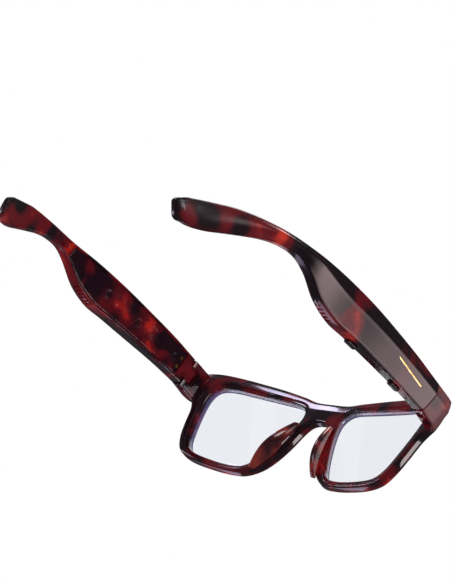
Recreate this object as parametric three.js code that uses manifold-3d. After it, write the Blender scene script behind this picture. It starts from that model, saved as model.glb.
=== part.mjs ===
// Audio smart glasses: a one-piece tortoiseshell front and two folding temples that hold the electronics.
// Units are millimetres. X points to the wearer's left, Y from the lenses back to the ears, Z up.
// The rims stand on Z = 0. Every sided part is drawn for the left and mirrored for the right.

import * as THREE from 'three';
import { mergeVertices } from 'three/addons/utils/BufferGeometryUtils.js';
import Module from 'manifold-3d';

const wasm = await Module();
wasm.setup();

// ---- driving dimensions ----
const GAP = 0.3;               // clearance between neighbouring pieces
const RIM_DEPTH = 4.6;         // front to back of the front plate
const RIM_BEVEL = 0.9;         // rounding of the front plate's edges
const WRAP = 0.0025;           // the front curves back by WRAP * x^2
const LENS_THICKNESS = 1.8;
const LENS_BITE = 1.0;         // depth of the groove that holds the lens
const SEAM_Y = 21.4;           // where the end piece meets the temple
const SEAM_BOW = 0.5;          // the seam bulges forward at mid height
const TEMPLE_INNER_X = 66.0;   // flat inner face of the straight part
const TEMPLE_OUTER_X = 71.4;   // outer face at its top and bottom edges
const RIDGE_X = 72.7;          // the lengthwise ridge on the outer face
const SWELL = { height: 1.2, start: 22, end: 112 };   // the outer face bulges between these y
const RIDGE_HEIGHT = 0.3;      // ridge height above mid height, as a share of the half height
const BEND_Y = 98;             // the hook starts to bend inward here
const BEND = 0.0068;           // inward shift of the hook is BEND * (y - BEND_Y)^2
const HOOK = { start: 100, end: 145, waist: 0.6, taper: 2.0 };   // thinner by these halfway and at the end
const PIN = { x: 68.0, y: 18.6, bottom: 28.1, top: 39.5 };
const SCREW = { radius: 0.8, headRadius: 1.4, headHeight: 0.9, slot: 0.4 };
const BUSH_RADIUS = 1.5;
const EAR_RADIUS = 2.4;        // round ends of the front's hinge ears
const TONGUE = { bottom: 30.7, top: 37.5, radius: 2.1, half: 1.9 };   // the temple's hinge tongue
// rows of the end piece: y, inward tuck of the outer face, extra height
const END_ROWS = [[8.4, 3.4, 1.4], [9.4, 1.8, 1.2], [11, 0.7, 0.8], [13.4, 0.1, 0.4], [SEAM_Y, 0, 0]];
const COVER = { start: 26.6, end: 103.4, thickness: 1.3, inset: 1.5 };
const CAVITY = { start: 28, end: 100, outer: 70.8, inset: 2.9 };
const POST_SPOTS = [[32, 32.7], [57, 29.0], [77.6, 25.8]];   // y, z of the cover's posts
const POST_RADIUS = 1.7;
const POST_BORE = 0.9;
// tapered pockets behind the cover: heights as shares of the temple, at a wide mouth and a narrow end
const POCKET = {
  mouth: 104.4, end: 110.8, depth: 1.5,
  heights: [[[0.2, 0.47], [0.22, 0.42]], [[0.53, 0.86], [0.5, 0.82]]],
};
const SLOT = { count: 6, first: 81.5, pitch: 1.9, width: 0.9, length: 3.2 };
const BUTTON = { x: 67.9, length: 6.4, width: 2.4, proud: 1.1, depth: 1.95 };
const FUNCTION_BUTTON_Y = 66.5;
const VOLUME_BUTTON_Y = 38.0;
const SWITCH = { half: 1.6, height: 0.7, travel: 0.7 };
const MIC = { y: 29.4, z: 31, port: 0.5, half: 0.6 };
const CHARGE_PIN = { y: 28.2, z: [31.4, 35.6], radius: 0.9, recess: 0.1, inside: 0.9 };
const BATTERY = { y: 45.5, z: 32.2, lean: -0.13, halfLength: 8.5, halfHeight: 3.3 };
const BOARD = { y: 67.4, z: 27.8, lean: -0.17, halfLength: 7.6, halfHeight: 4.2 };
// chips on the board: y, z, half length, half height
const CHIPS = [[-4, 1, 2.2, 1.1], [2.4, -1, 1.6, 1.2], [5.4, 1.6, 1.0, 0.7]];
const RIBBON_PATH = [[55.2, 31.9], [57.2, 32.9], [59.4, 31.5]];   // y, z from the battery to the board
const SPEAKER = { y: 87.6, z: 25.1, halfLength: 6.4, halfHeight: 3.3, rim: 0.75 };
const MAGNET = { halfLength: 2.9, halfHeight: 1.8 };
const MESH = { inner: 68.2, outer: 70.4, thickness: 0.3 };
// a nose pad is a leaf from top to bottom; it swells in the middle and follows the side of the nose
const PAD = {
  top: 29.2, height: 25.8, x: 9.3, drift: 1, flare: 7.2, lean: 2.6, reach: 1.4, bulge: 5.0,
  thin: 1.1, thick: 1.7,
};

// ---- side outline of a temple: pairs of top and bottom points (y, z), seam to tip ----
const TOP_EDGE = [
  [22.0, 40.9], [37, 39.9], [54, 37.9], [70, 35.8], [80, 34.2], [92, 31.9], [104, 29.0], [112, 27.0],
  [120, 24.8], [128, 22.0], [136, 18.5], [142.2, 14.6], [147.0, 11.2], [150.4, 8.4], [151.0, 6.4],
];
const BOTTOM_EDGE = [
  [22.0, 27.3], [37, 25.2], [54, 22.2], [70, 19.2], [80, 17.1], [91, 17.6], [102, 21.0], [109.5, 21.8],
  [116.5, 19.8], [122.5, 16.6], [128, 12.6], [133.4, 8.4], [138.4, 4.6], [142.8, 2.5], [146.8, 2.6],
];
const TIP = [150.2, 4.2];
const TIP_CENTRE = 1.8;        // how far the tip lies outward of the inner face

// ---- front view outlines (x, z) of the left half, drawn at the middle of the plate's depth ----
const HALF_FRONT = [
  [0, 42.4], [9, 42.5], [17, 44.1], [30, 45.6], [46, 46.0], [58, 45.3], [65.6, 43.6], [68.6, 41.2],
  [69.0, 35], [68.4, 29.4], [66.4, 26.4], [64.6, 22.6], [62.9, 15.2], [60.8, 8.4], [57.2, 3.0],
  [50.5, 0.6], [40, 0], [30, 0.2], [22.2, 1.5], [15.6, 6.0], [11.3, 12.8], [8.7, 20.0], [7.2, 26],
  [5.6, 30.0], [3.4, 31.8], [0, 32.3],
];
const LENS_OUTLINE = [
  [10.6, 32.6], [12.0, 37.0], [16.4, 39.0], [28, 39.6], [42, 39.6], [53, 39.0], [58.8, 36.8], [60.6, 31.8],
  [59.8, 24.0], [57.6, 14.0], [55.4, 7.8], [51.2, 4.1], [41, 3.0], [30, 3.1], [23.4, 4.9], [19.2, 10.4],
  [15.2, 18.2], [12.0, 26.2],
];

const LEFT = 1;
const RIGHT = -1;

// ---- colours ----
const TORTOISE = { color: 0x3a0c10, roughness: 0.16, metalness: 0 };
const SATIN = { color: 0x6b4a4c, roughness: 0.5, metalness: 0 };
const CLEAR_RED = { color: 0x5a0f14, roughness: 0.15, metalness: 0 };
const PAD_BROWN = { color: 0x6b211a, roughness: 0.2, metalness: 0 };
const LENS_CLEAR = { color: 0xdfe6f2, roughness: 0.04, metalness: 0, transparent: true, opacity: 0.35 };
const STEEL = { color: 0xb8babd, roughness: 0.3, metalness: 1 };
const GOLD = { color: 0xd9b45a, roughness: 0.25, metalness: 1 };
const CELL_SILVER = { color: 0xa9adb2, roughness: 0.4, metalness: 0.6 };
const BOARD_GREEN = { color: 0x14402a, roughness: 0.5, metalness: 0.1 };
const BLACK = { color: 0x141416, roughness: 0.5, metalness: 0 };
const AMBER = { color: 0xa8641e, roughness: 0.4, metalness: 0 };

// ---- solids ----
function merged(geometry) {
  const bare = geometry.clone();
  for (const name of Object.keys(bare.attributes)) {
    if (name !== 'position') bare.deleteAttribute(name);
  }
  return mergeVertices(bare, 1e-4);
}

function volume(geometry) {
  const at = geometry.attributes.position;
  const index = geometry.index;
  const a = new THREE.Vector3();
  const b = new THREE.Vector3();
  const c = new THREE.Vector3();
  let sum = 0;
  for (let i = 0; i < index.count; i += 3) {
    a.fromBufferAttribute(at, index.getX(i));
    b.fromBufferAttribute(at, index.getX(i + 1));
    c.fromBufferAttribute(at, index.getX(i + 2));
    sum += a.dot(b.cross(c)) / 6;
  }
  return sum;
}

function outward(geometry) {
  if (volume(geometry) < 0) geometry.index.array.reverse();
  return geometry;
}

function solid(geometry) {
  const closed = outward(merged(geometry));
  return new wasm.Manifold(new wasm.Mesh({
    numProp: 3,
    vertProperties: Float32Array.from(closed.attributes.position.array),
    triVerts: Uint32Array.from(closed.index.array),
  }));
}

function toGeometry(manifold) {
  const mesh = manifold.getMesh();
  const geometry = new THREE.BufferGeometry();
  geometry.setAttribute('position', new THREE.BufferAttribute(Float32Array.from(mesh.vertProperties), 3));
  geometry.setIndex(new THREE.BufferAttribute(Uint32Array.from(mesh.triVerts), 1));
  return geometry;
}

function join(first, ...rest) {
  return toGeometry(rest.reduce((body, piece) => body.add(solid(piece)), solid(first)));
}

function cut(body, ...tools) {
  return toGeometry(tools.reduce((rest, tool) => rest.subtract(solid(tool)), solid(body)));
}

function mirrored(geometry, side) {
  const copy = merged(geometry);
  if (side === RIGHT) copy.scale(-1, 1, 1);
  return outward(copy);
}

// ---- shapes ----
function block(x0, x1, y0, y1, z0, z1) {
  const box = new THREE.BoxGeometry(x1 - x0, y1 - y0, z1 - z0);
  return box.translate((x0 + x1) / 2, (y0 + y1) / 2, (z0 + z1) / 2);
}

function post(x, y, z0, z1, radius, sides = 20) {
  const cylinder = new THREE.CylinderGeometry(radius, radius, z1 - z0, sides);
  return cylinder.rotateX(Math.PI / 2).translate(x, y, (z0 + z1) / 2);
}

function crossPost(x0, x1, y, z, radius, sides = 16) {
  const cylinder = new THREE.CylinderGeometry(radius, radius, x1 - x0, sides);
  return cylinder.rotateZ(Math.PI / 2).translate((x0 + x1) / 2, y, z);
}

// A stadium plate lying along Y, pushed along Z.
function stadium(length, width, height, bevel = 0) {
  const straight = (length - width) / 2;
  const shape = new THREE.Shape();
  shape.absarc(0, straight, width / 2 - bevel, 0, Math.PI);
  shape.absarc(0, -straight, width / 2 - bevel, Math.PI, 2 * Math.PI);
  shape.closePath();
  return new THREE.ExtrudeGeometry(shape, {
    depth: height - 2 * bevel, curveSegments: 6, bevelEnabled: bevel > 0,
    bevelThickness: bevel, bevelSize: bevel, bevelSegments: 1,
  }).translate(0, 0, bevel);
}

// Closed body through a row of closed rings of Vector3, with a fan on each end.
function loft(rings) {
  const sides = rings[0].length;
  const places = [];
  const faces = [];
  for (const ring of rings) {
    for (const point of ring) places.push(point.x, point.y, point.z);
  }
  for (let r = 0; r + 1 < rings.length; r += 1) {
    for (let s = 0; s < sides; s += 1) {
      const a = r * sides + s;
      const b = r * sides + (s + 1) % sides;
      faces.push(a, b, b + sides, a, b + sides, a + sides);
    }
  }
  for (const r of [0, rings.length - 1]) {
    const centre = new THREE.Vector3();
    for (const point of rings[r]) centre.addScaledVector(point, 1 / sides);
    const middle = places.length / 3;
    places.push(centre.x, centre.y, centre.z);
    for (let s = 0; s < sides; s += 1) {
      const a = r * sides + s;
      const b = r * sides + (s + 1) % sides;
      if (r === 0) faces.push(middle, b, a);
      else faces.push(middle, a, b);
    }
  }
  const geometry = new THREE.BufferGeometry();
  geometry.setAttribute('position', new THREE.Float32BufferAttribute(places, 3));
  geometry.setIndex(faces);
  return outward(merged(geometry));
}

// ---- temple outline ----
const topCurve = new THREE.CatmullRomCurve3(TOP_EDGE.map(([y, z]) => new THREE.Vector3(0, y, z)));
const bottomCurve = new THREE.CatmullRomCurve3(BOTTOM_EDGE.map(([y, z]) => new THREE.Vector3(0, y, z)));

// Where along the outline (0 seam, 1 tip) the straight part reaches a given y.
function along(y) {
  let low = 0;
  let high = 1;
  for (let step = 0; step < 30; step += 1) {
    const middle = (low + high) / 2;
    if (topCurve.getPoint(middle).y < y) low = middle;
    else high = middle;
  }
  return (low + high) / 2;
}

const bottomAt = (y) => bottomCurve.getPoint(along(y)).z;
const bend = (y) => (y > BEND_Y ? BEND * (y - BEND_Y) ** 2 : 0);

function swell(y) {
  const share = Math.min(1, (y - SWELL.start) / (SWELL.end - SWELL.start));
  return SWELL.height * Math.sin(Math.PI * share) ** 2;
}

// A ring of a plain box section between two x faces, inset from the top and bottom edges.
function insetRing(y, x0, x1, inset) {
  const share = along(y);
  const low = bottomCurve.getPoint(share).z + inset;
  const high = topCurve.getPoint(share).z - inset;
  const corner = Math.min(1.2, (high - low) / 3);
  const shift = bend(y);
  return [
    [x0, low + corner], [x0, high - corner], [x0, high], [x1, high],
    [x1, high - corner], [x1, low + corner], [x1, low], [x0, low],
  ].map(([x, z]) => new THREE.Vector3(x - shift, y, z));
}

function insetBody(start, end, x0, x1, inset, steps = 14) {
  const rings = [];
  for (let i = 0; i <= steps; i += 1) {
    rings.push(insetRing(start + (end - start) * i / steps, x0, x1, inset));
  }
  return loft(rings);
}

// Outer section of the temple: flat inner face, ridge on the outer face, rounded corners.
// Returned as [across, up] pairs; across runs 0 (inner) to 1 (outer edge), up runs -1 to 1.
function templeSection(half, width, ridge) {
  const points = [];
  const corner = (cx, cz, radius, from) => {
    for (let i = 0; i <= 2; i += 1) {
      const angle = from + i * Math.PI / 4;
      points.push([cx + radius * Math.cos(angle), cz + radius * Math.sin(angle)]);
    }
  };
  const soft = Math.min(1.1, half / 3);
  corner(width - soft, -half + soft, soft, -Math.PI / 2);
  points.push([width + ridge * 0.82, half * (RIDGE_HEIGHT - 0.14)]);
  points.push([width + ridge, half * RIDGE_HEIGHT]);
  points.push([width + ridge * 0.72, half * (RIDGE_HEIGHT + 0.16)]);
  corner(width - soft, half - soft, soft, 0);
  corner(soft * 0.8, half - soft * 0.8, soft * 0.8, Math.PI / 2);
  corner(soft * 0.8, -half + soft * 0.8, soft * 0.8, Math.PI);
  return points;
}

function templeRing(share) {
  const top = topCurve.getPoint(share);
  const bottom = bottomCurve.getPoint(share);
  const middle = top.clone().add(bottom).multiplyScalar(0.5);
  const up = top.clone().sub(bottom).normalize();
  const half = top.distanceTo(bottom) / 2;
  const toTip = Math.min(1, Math.max(0, (middle.y - HOOK.start) / (HOOK.end - HOOK.start)));
  const thinned = HOOK.waist * Math.sin(Math.PI * toTip) + HOOK.taper * toTip ** 2;
  const width = TEMPLE_OUTER_X - TEMPLE_INNER_X - thinned;
  const ridge = (RIDGE_X - TEMPLE_OUTER_X) * (1 - 0.85 * toTip);
  const swollen = width + swell(middle.y);
  const nearSeam = Math.max(0, 1 - share / 0.06);
  return templeSection(half, swollen, ridge).map(([across, high]) => {
    const place = middle.clone().addScaledVector(up, high);
    const bow = SEAM_BOW * nearSeam * (1 - (high / half) ** 2);
    return new THREE.Vector3(TEMPLE_INNER_X + across - bend(place.y), place.y - bow, place.z);
  });
}

function templeBody() {
  const rings = [];
  const steps = 36;
  for (let i = 0; i <= steps; i += 1) rings.push(templeRing(i / steps));
  // the tip closes over three shrinking rings
  const last = rings[steps];
  const tip = new THREE.Vector3(TEMPLE_INNER_X + TIP_CENTRE - bend(TIP[0]), TIP[0], TIP[1]);
  for (const share of [0.45, 0.8]) {
    const round = Math.sqrt(1 - share * share);
    const centre = new THREE.Vector3();
    for (const point of last) centre.addScaledVector(point, 1 / last.length);
    rings.push(last.map((point) => point.clone().sub(centre).multiplyScalar(round)
      .add(centre.clone().lerp(tip, share))));
  }
  return loft(rings);
}

// ---- front ----
function wrapped(geometry) {
  const at = geometry.attributes.position;
  for (let i = 0; i < at.count; i += 1) at.setY(i, at.getY(i) + WRAP * at.getX(i) ** 2);
  return geometry;
}

function smoothOutline(points, divisions, tension = 0.5) {
  const curve = new THREE.CatmullRomCurve3(
    points.map(([x, z]) => new THREE.Vector3(x, z, 0)), true, 'catmullrom', tension);
  return curve.getPoints(divisions).slice(0, divisions).map((p) => new THREE.Vector2(p.x, p.y));
}

// Moves a closed outline outward (or inward when distance is negative).
function offsetOutline(points, distance) {
  const turn = THREE.ShapeUtils.isClockWise(points) ? 1 : -1;
  return points.map((point, i) => {
    const before = points[(i + points.length - 1) % points.length];
    const after = points[(i + 1) % points.length];
    const heading = after.clone().sub(before).normalize();
    return new THREE.Vector2(point.x - heading.y * distance * turn, point.y + heading.x * distance * turn);
  });
}

function wound(points, clockwise) {
  return THREE.ShapeUtils.isClockWise(points) === clockwise ? points : points.slice().reverse();
}

const lensEdge = wound(smoothOutline(LENS_OUTLINE, 40), true);

// A lens-shaped plate built in rings, so its faces can follow the wrap.
function lensPlate(outline, front, back) {
  const centre = new THREE.Vector2();
  for (const point of outline) centre.addScaledVector(point, 1 / outline.length);
  const ring = (share, y) => outline.map((point) => {
    const p = centre.clone().lerp(point, share);
    return new THREE.Vector3(p.x, y, p.y);
  });
  const rings = [
    ring(0.03, front), ring(0.5, front), ring(1, front), ring(1, back), ring(0.5, back), ring(0.03, back),
  ];
  return wrapped(loft(rings));
}

function frontPlate() {
  const right = HALF_FRONT.slice(1, -1).reverse().map(([x, z]) => [-x, z]);
  const outline = smoothOutline([...HALF_FRONT, ...right], 120);
  const shape = new THREE.Shape(offsetOutline(wound(outline, false), -RIM_BEVEL));
  const opening = offsetOutline(lensEdge, RIM_BEVEL);
  const opposite = opening.map((p) => new THREE.Vector2(-p.x, p.y));
  shape.holes.push(new THREE.Path(opening));
  shape.holes.push(new THREE.Path(wound(opposite, true)));
  const plate = new THREE.ExtrudeGeometry(shape, {
    depth: RIM_DEPTH - 2 * RIM_BEVEL, bevelEnabled: true, bevelThickness: RIM_BEVEL,
    bevelSize: RIM_BEVEL, bevelSegments: 1, curveSegments: 1,
  });
  // extrusion runs along +Y after the turn, ending at the back face
  plate.rotateX(Math.PI / 2).translate(0, -RIM_BEVEL, 0);
  return wrapped(merged(plate));
}

// The end piece carries the temple's section forward to the corner of the front.
function endPiece() {
  const rings = [];
  const low = BOTTOM_EDGE[0][1];
  const high = TOP_EDGE[0][1];
  const middle = (low + high) / 2;
  const half = (high - low) / 2;
  const inner = PIN.x - EAR_RADIUS;
  for (const [y, tuck, grow] of END_ROWS) {
    const width = TEMPLE_OUTER_X - inner - tuck;
    const ridge = RIDGE_X - TEMPLE_OUTER_X;
    const back = y === SEAM_Y ? SEAM_BOW : 0;
    rings.push(templeSection(half + grow / 2, width, ridge).map(([across, up]) => {
      const bow = back * Math.max(0, 1 - (up / half) ** 2);
      return new THREE.Vector3(inner + across, y - bow, middle + grow / 2 + up);
    }));
  }
  return loft(rings);
}

function frontFrame() {
  let frame = frontPlate();
  for (const side of [LEFT, RIGHT]) {
    const groove = mirrored(lensPlate(
      offsetOutline(lensEdge, LENS_BITE + GAP), -LENS_THICKNESS / 2 - GAP, LENS_THICKNESS / 2 + GAP), side);
    groove.translate(0, -RIM_DEPTH / 2, 0);
    const slot = block(
      PIN.x - 6, PIN.x + EAR_RADIUS + 0.2, PIN.y - EAR_RADIUS - 0.6, SEAM_Y + 1,
      TONGUE.bottom - GAP, TONGUE.top + GAP);
    // the ears end in a quarter round about the pin, so the folded temple clears them
    const earCorner = cut(
      block(PIN.x - 6, PIN.x, PIN.y, SEAM_Y + 1, 20, 45),
      post(PIN.x, PIN.y, 19, 46, EAR_RADIUS, 32));
    const earBack = block(
      PIN.x - 0.01, PIN.x + EAR_RADIUS, PIN.y + EAR_RADIUS, SEAM_Y + 1, 20, 45);
    const screwHole = post(PIN.x, PIN.y, 20, PIN.top + GAP, SCREW.radius + GAP);
    const headHole = post(PIN.x, PIN.y, 20, PIN.bottom + SCREW.headHeight + GAP, SCREW.headRadius + GAP);
    const end = cut(endPiece(), slot, earCorner, earBack, screwHole, headHole);
    frame = join(frame, mirrored(end, side));
    frame = cut(frame, groove);
  }
  return frame;
}

function lens() {
  return lensPlate(offsetOutline(lensEdge, LENS_BITE), -LENS_THICKNESS / 2, LENS_THICKNESS / 2)
    .translate(0, -RIM_DEPTH / 2, 0);
}

// A moulded leaf that stands back from the nose side of the rim.
function nosePad() {
  const rings = [];
  const steps = 12;
  const sides = 12;
  for (let i = 0; i <= steps; i += 1) {
    const share = i / steps;
    const full = Math.sin(Math.PI * (0.06 + 0.88 * share));
    const x = PAD.x + PAD.drift * share + PAD.flare * share ** 2.2;
    const z = PAD.top - PAD.height * share;
    const reach = PAD.reach + PAD.bulge * full;
    const thick = PAD.thin + PAD.thick * full;
    const ring = [];
    for (let s = 0; s < sides; s += 1) {
      const angle = 2 * Math.PI * s / sides;
      const outer = (1 + Math.cos(angle)) / 2;
      const across = Math.sin(angle) * thick * (1 - 0.35 * outer) + PAD.lean * full * outer;
      const y = WRAP * (x - 1.9) ** 2 + GAP + reach * outer;
      ring.push(new THREE.Vector3(x + across, y, z - 0.35 * reach * outer));
    }
    rings.push(ring);
  }
  return loft(rings);
}

function hingeScrew() {
  const shank = post(PIN.x, PIN.y, PIN.bottom + SCREW.slot, PIN.top, SCREW.radius);
  const head = post(PIN.x, PIN.y, PIN.bottom, PIN.bottom + SCREW.headHeight, SCREW.headRadius, 24);
  const reach = SCREW.headRadius + 1;
  const driveSlot = block(
    PIN.x - reach, PIN.x + reach, PIN.y - SCREW.slot / 2, PIN.y + SCREW.slot / 2,
    PIN.bottom - 1, PIN.bottom + SCREW.slot);
  return cut(join(shank, head), driveSlot);
}

function hingeBush() {
  const outer = post(PIN.x, PIN.y, TONGUE.bottom + 0.2, TONGUE.top - 0.2, BUSH_RADIUS);
  return cut(outer, post(PIN.x, PIN.y, TONGUE.bottom - 1, TONGUE.top + 1, SCREW.radius + GAP));
}

// ---- temple parts ----
function slope(y) {
  return Math.atan2(bottomAt(y + 1) - bottomAt(y - 1), 2);
}

// Turns a piece drawn along Z so that it stands square on the temple's underside at y.
function onUnderside(geometry, y, lift) {
  return geometry.translate(0, 0, lift).rotateX(slope(y)).translate(BUTTON.x, y, bottomAt(y));
}

function pocketRing(y, [low, high]) {
  const face = TEMPLE_INNER_X - bend(y);
  const base = bottomAt(y);
  const tall = topCurve.getPoint(along(y)).z - base;
  const z0 = base + tall * low;
  const z1 = base + tall * high;
  return [[-1, z0], [POCKET.depth, z0], [POCKET.depth, z1], [-1, z1]]
    .map(([x, z]) => new THREE.Vector3(face + x, y, z));
}

function templeShell(side) {
  const tongue = join(
    block(PIN.x - TONGUE.half, PIN.x + TONGUE.half, PIN.y, 25, TONGUE.bottom, TONGUE.top),
    post(PIN.x, PIN.y, TONGUE.bottom, TONGUE.top, TONGUE.radius, 28));
  const hingeRoom = block(TEMPLE_INNER_X - 4, PIN.x + EAR_RADIUS, 15, SEAM_Y + 0.7, 15, 50);
  const tools = [
    insetBody(COVER.start - GAP, COVER.end + GAP, TEMPLE_INNER_X - 3, TEMPLE_INNER_X + COVER.thickness + GAP,
      COVER.inset - GAP),
    insetBody(CAVITY.start, CAVITY.end, TEMPLE_INNER_X - 3, CAVITY.outer, CAVITY.inset),
    block(TEMPLE_INNER_X - 3, TEMPLE_INNER_X + COVER.thickness + 1.2, CHARGE_PIN.y - 1.4, CAVITY.start + 1,
      CHARGE_PIN.z[0] - 1.4, CHARGE_PIN.z[1] + 1.4),
  ];
  for (let i = 0; i < SLOT.count; i += 1) {
    const y = SLOT.first + i * SLOT.pitch;
    tools.push(onUnderside(block(
      -SLOT.length / 2, SLOT.length / 2, -SLOT.width / 2, SLOT.width / 2, -2, 4), y, 0));
  }
  tools.push(onUnderside(post(0, 0, -2, 5, MIC.port, 10), MIC.y, 0));
  // the pockets lighten the neck of the hook
  for (const [mouth, end] of POCKET.heights) {
    tools.push(loft([pocketRing(POCKET.mouth, mouth), pocketRing(POCKET.end, end)]));
  }
  if (side === RIGHT) {
    for (const y of [FUNCTION_BUTTON_Y, VOLUME_BUTTON_Y]) {
      tools.push(onUnderside(stadium(BUTTON.length + 2 * GAP, BUTTON.width + 2 * GAP, 9), y, -3));
    }
  }
  const body = cut(templeBody(), hingeRoom, ...tools);
  const bushHole = post(PIN.x, PIN.y, 20, 45, BUSH_RADIUS + GAP);
  return mirrored(cut(join(body, tongue), bushHole), side);
}

function templeCover() {
  const x0 = TEMPLE_INNER_X;
  const plate = insetBody(COVER.start, COVER.end, x0, x0 + COVER.thickness, COVER.inset);
  const posts = POST_SPOTS.map(([y, z]) => crossPost(x0 + 0.5, CAVITY.outer - GAP, y, z, POST_RADIUS));
  const bores = POST_SPOTS.map(([y, z]) => (
    crossPost(x0 + COVER.thickness, CAVITY.outer + 1, y, z, POST_BORE, 12)));
  const pinHoles = CHARGE_PIN.z.map((z) => (
    crossPost(x0 - 1, x0 + 4, CHARGE_PIN.y, z, CHARGE_PIN.radius + GAP)));
  return cut(join(plate, ...posts), ...bores, ...pinHoles);
}

function chargePin(z) {
  const inner = TEMPLE_INNER_X + CHARGE_PIN.recess;
  const outer = TEMPLE_INNER_X + COVER.thickness + CHARGE_PIN.inside;
  return crossPost(inner, outer, CHARGE_PIN.y, z, CHARGE_PIN.radius);
}

// The electronics sit between these two x values, behind the cover and between its posts.
const DEEP = CAVITY.outer - GAP;
const SHALLOW = TEMPLE_INNER_X + COVER.thickness + GAP;

// A block drawn about the origin, leaned to follow the temple and moved to its y and z.
function leaning(spot, x0, x1, y0, y1, z0, z1) {
  return block(x0, x1, y0, y1, z0, z1).rotateX(spot.lean).translate(0, spot.y, spot.z);
}

function battery() {
  const { halfLength, halfHeight } = BATTERY;
  const cell = leaning(BATTERY, SHALLOW + 0.2, DEEP - 0.2, -halfLength, halfLength, -halfHeight, halfHeight);
  const tab = leaning(BATTERY, SHALLOW + 0.9, SHALLOW + 1.7, halfLength - 0.5, halfLength + 0.9, -1.6, 1.6);
  return join(cell, tab);
}

function circuitBoard() {
  const { halfLength, halfHeight } = BOARD;
  const board = leaning(BOARD, SHALLOW + 0.9, SHALLOW + 1.7, -halfLength, halfLength, -halfHeight, halfHeight);
  const chips = CHIPS.map(([y, z, long, tall]) => (
    leaning(BOARD, SHALLOW + 1.5, SHALLOW + 2.5, y - long, y + long, z - tall, z + tall)));
  return join(board, ...chips);
}

function ribbon() {
  return loft(RIBBON_PATH.map(([y, z]) => (
    [[0.9, -1], [1.25, -1], [1.25, 1], [0.9, 1]].map(([x, w]) => (
      new THREE.Vector3(SHALLOW + x, y, z + w))))));
}

function speakerFrame() {
  const { halfLength, halfHeight, rim } = SPEAKER;
  const body = block(SHALLOW + 0.2, DEEP - 0.2, -halfLength, halfLength, -halfHeight, halfHeight);
  const bowl = block(
    SHALLOW - 1, SHALLOW + 1.2, rim - halfLength, halfLength - rim, rim - halfHeight, halfHeight - rim);
  const magnetRoom = block(
    SHALLOW + 0.9, DEEP + 1, -MAGNET.halfLength - GAP, MAGNET.halfLength + GAP,
    -MAGNET.halfHeight - GAP, MAGNET.halfHeight + GAP);
  return cut(body, bowl, magnetRoom).translate(0, SPEAKER.y, SPEAKER.z);
}

function speakerMagnet() {
  const { halfLength, halfHeight } = MAGNET;
  return block(SHALLOW + 1.3, DEEP - 0.1, -halfLength, halfLength, -halfHeight, halfHeight)
    .translate(0, SPEAKER.y, SPEAKER.z);
}

// Dust mesh on the cavity floor, over the speaker slots.
function speakerMesh() {
  const middle = SLOT.first + SLOT.pitch * (SLOT.count - 1) / 2;
  const half = SLOT.pitch * SLOT.count / 2;
  return loft([-half, 0, half].map((offset) => {
    const base = bottomAt(middle + offset) + CAVITY.inset + GAP;
    const top = base + MESH.thickness;
    return [[MESH.inner, base], [MESH.outer, base], [MESH.outer, top], [MESH.inner, top]]
      .map(([x, z]) => new THREE.Vector3(x, middle + offset, z));
  }));
}

function microphone() {
  return block(SHALLOW + 0.6, SHALLOW + 1.8, MIC.y - MIC.half, MIC.y + MIC.half, MIC.z - 0.8, MIC.z + 0.8);
}

function button(y) {
  return onUnderside(stadium(BUTTON.length, BUTTON.width, BUTTON.depth, 0.4), y, -BUTTON.proud);
}

function tactSwitch(y) {
  const body = block(-0.3, 1.1, -SWITCH.half, SWITCH.half, 0, SWITCH.height);
  return onUnderside(body, y, BUTTON.depth - BUTTON.proud + SWITCH.travel);
}

// ---- assembly ----
const glasses = new THREE.Group();

function add(group, name, geometry, finish) {
  const flat = merged(geometry).toNonIndexed();
  flat.computeVertexNormals();
  const mesh = new THREE.Mesh(flat, new THREE.MeshStandardMaterial({ ...finish, flatShading: true }));
  mesh.name = name;
  group.add(mesh);
}

const front = new THREE.Group();
glasses.add(front);
add(front, 'front_frame', frontFrame(), TORTOISE);

for (const [side, word] of [[LEFT, 'left'], [RIGHT, 'right']]) {
  add(front, `lens_${word}`, mirrored(lens(), side), LENS_CLEAR);
  add(front, `nose_pad_${word}`, mirrored(nosePad(), side), PAD_BROWN);
  add(front, `hinge_screw_${word}`, mirrored(hingeScrew(), side), STEEL);

  const temple = new THREE.Group();
  glasses.add(temple);
  add(temple, `temple_shell_${word}`, templeShell(side), SATIN);
  add(temple, `temple_cover_${word}`, mirrored(templeCover(), side), CLEAR_RED);
  add(temple, `hinge_bush_${word}`, mirrored(hingeBush(), side), STEEL);
  add(temple, `battery_${word}`, mirrored(battery(), side), CELL_SILVER);
  add(temple, `circuit_board_${word}`, mirrored(circuitBoard(), side), BOARD_GREEN);
  add(temple, `ribbon_cable_${word}`, mirrored(ribbon(), side), AMBER);
  add(temple, `speaker_frame_${word}`, mirrored(speakerFrame(), side), BLACK);
  add(temple, `speaker_magnet_${word}`, mirrored(speakerMagnet(), side), STEEL);
  add(temple, `speaker_mesh_${word}`, mirrored(speakerMesh(), side), BLACK);
  add(temple, `microphone_${word}`, mirrored(microphone(), side), CELL_SILVER);
  CHARGE_PIN.z.forEach((z, i) => {
    const spot = i === 0 ? 'lower' : 'upper';
    add(temple, `charge_pin_${spot}_${word}`, mirrored(chargePin(z), side), GOLD);
  });
  if (side === RIGHT) {
    add(temple, 'function_button', mirrored(button(FUNCTION_BUTTON_Y), side), BLACK);
    add(temple, 'volume_button', mirrored(button(VOLUME_BUTTON_Y), side), BLACK);
    add(temple, 'function_switch', mirrored(tactSwitch(FUNCTION_BUTTON_Y), side), CELL_SILVER);
    add(temple, 'volume_switch', mirrored(tactSwitch(VOLUME_BUTTON_Y), side), CELL_SILVER);
  }
}

// the origin is the middle of the footprint, on the surface the glasses stand on
const bounds = new THREE.Box3().setFromObject(glasses);
glasses.position.set(0, -(bounds.min.y + bounds.max.y) / 2, -bounds.min.z);

export default glasses;
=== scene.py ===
import math
import bpy
import bmesh
import numpy as np
from mathutils import Matrix, Vector


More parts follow.
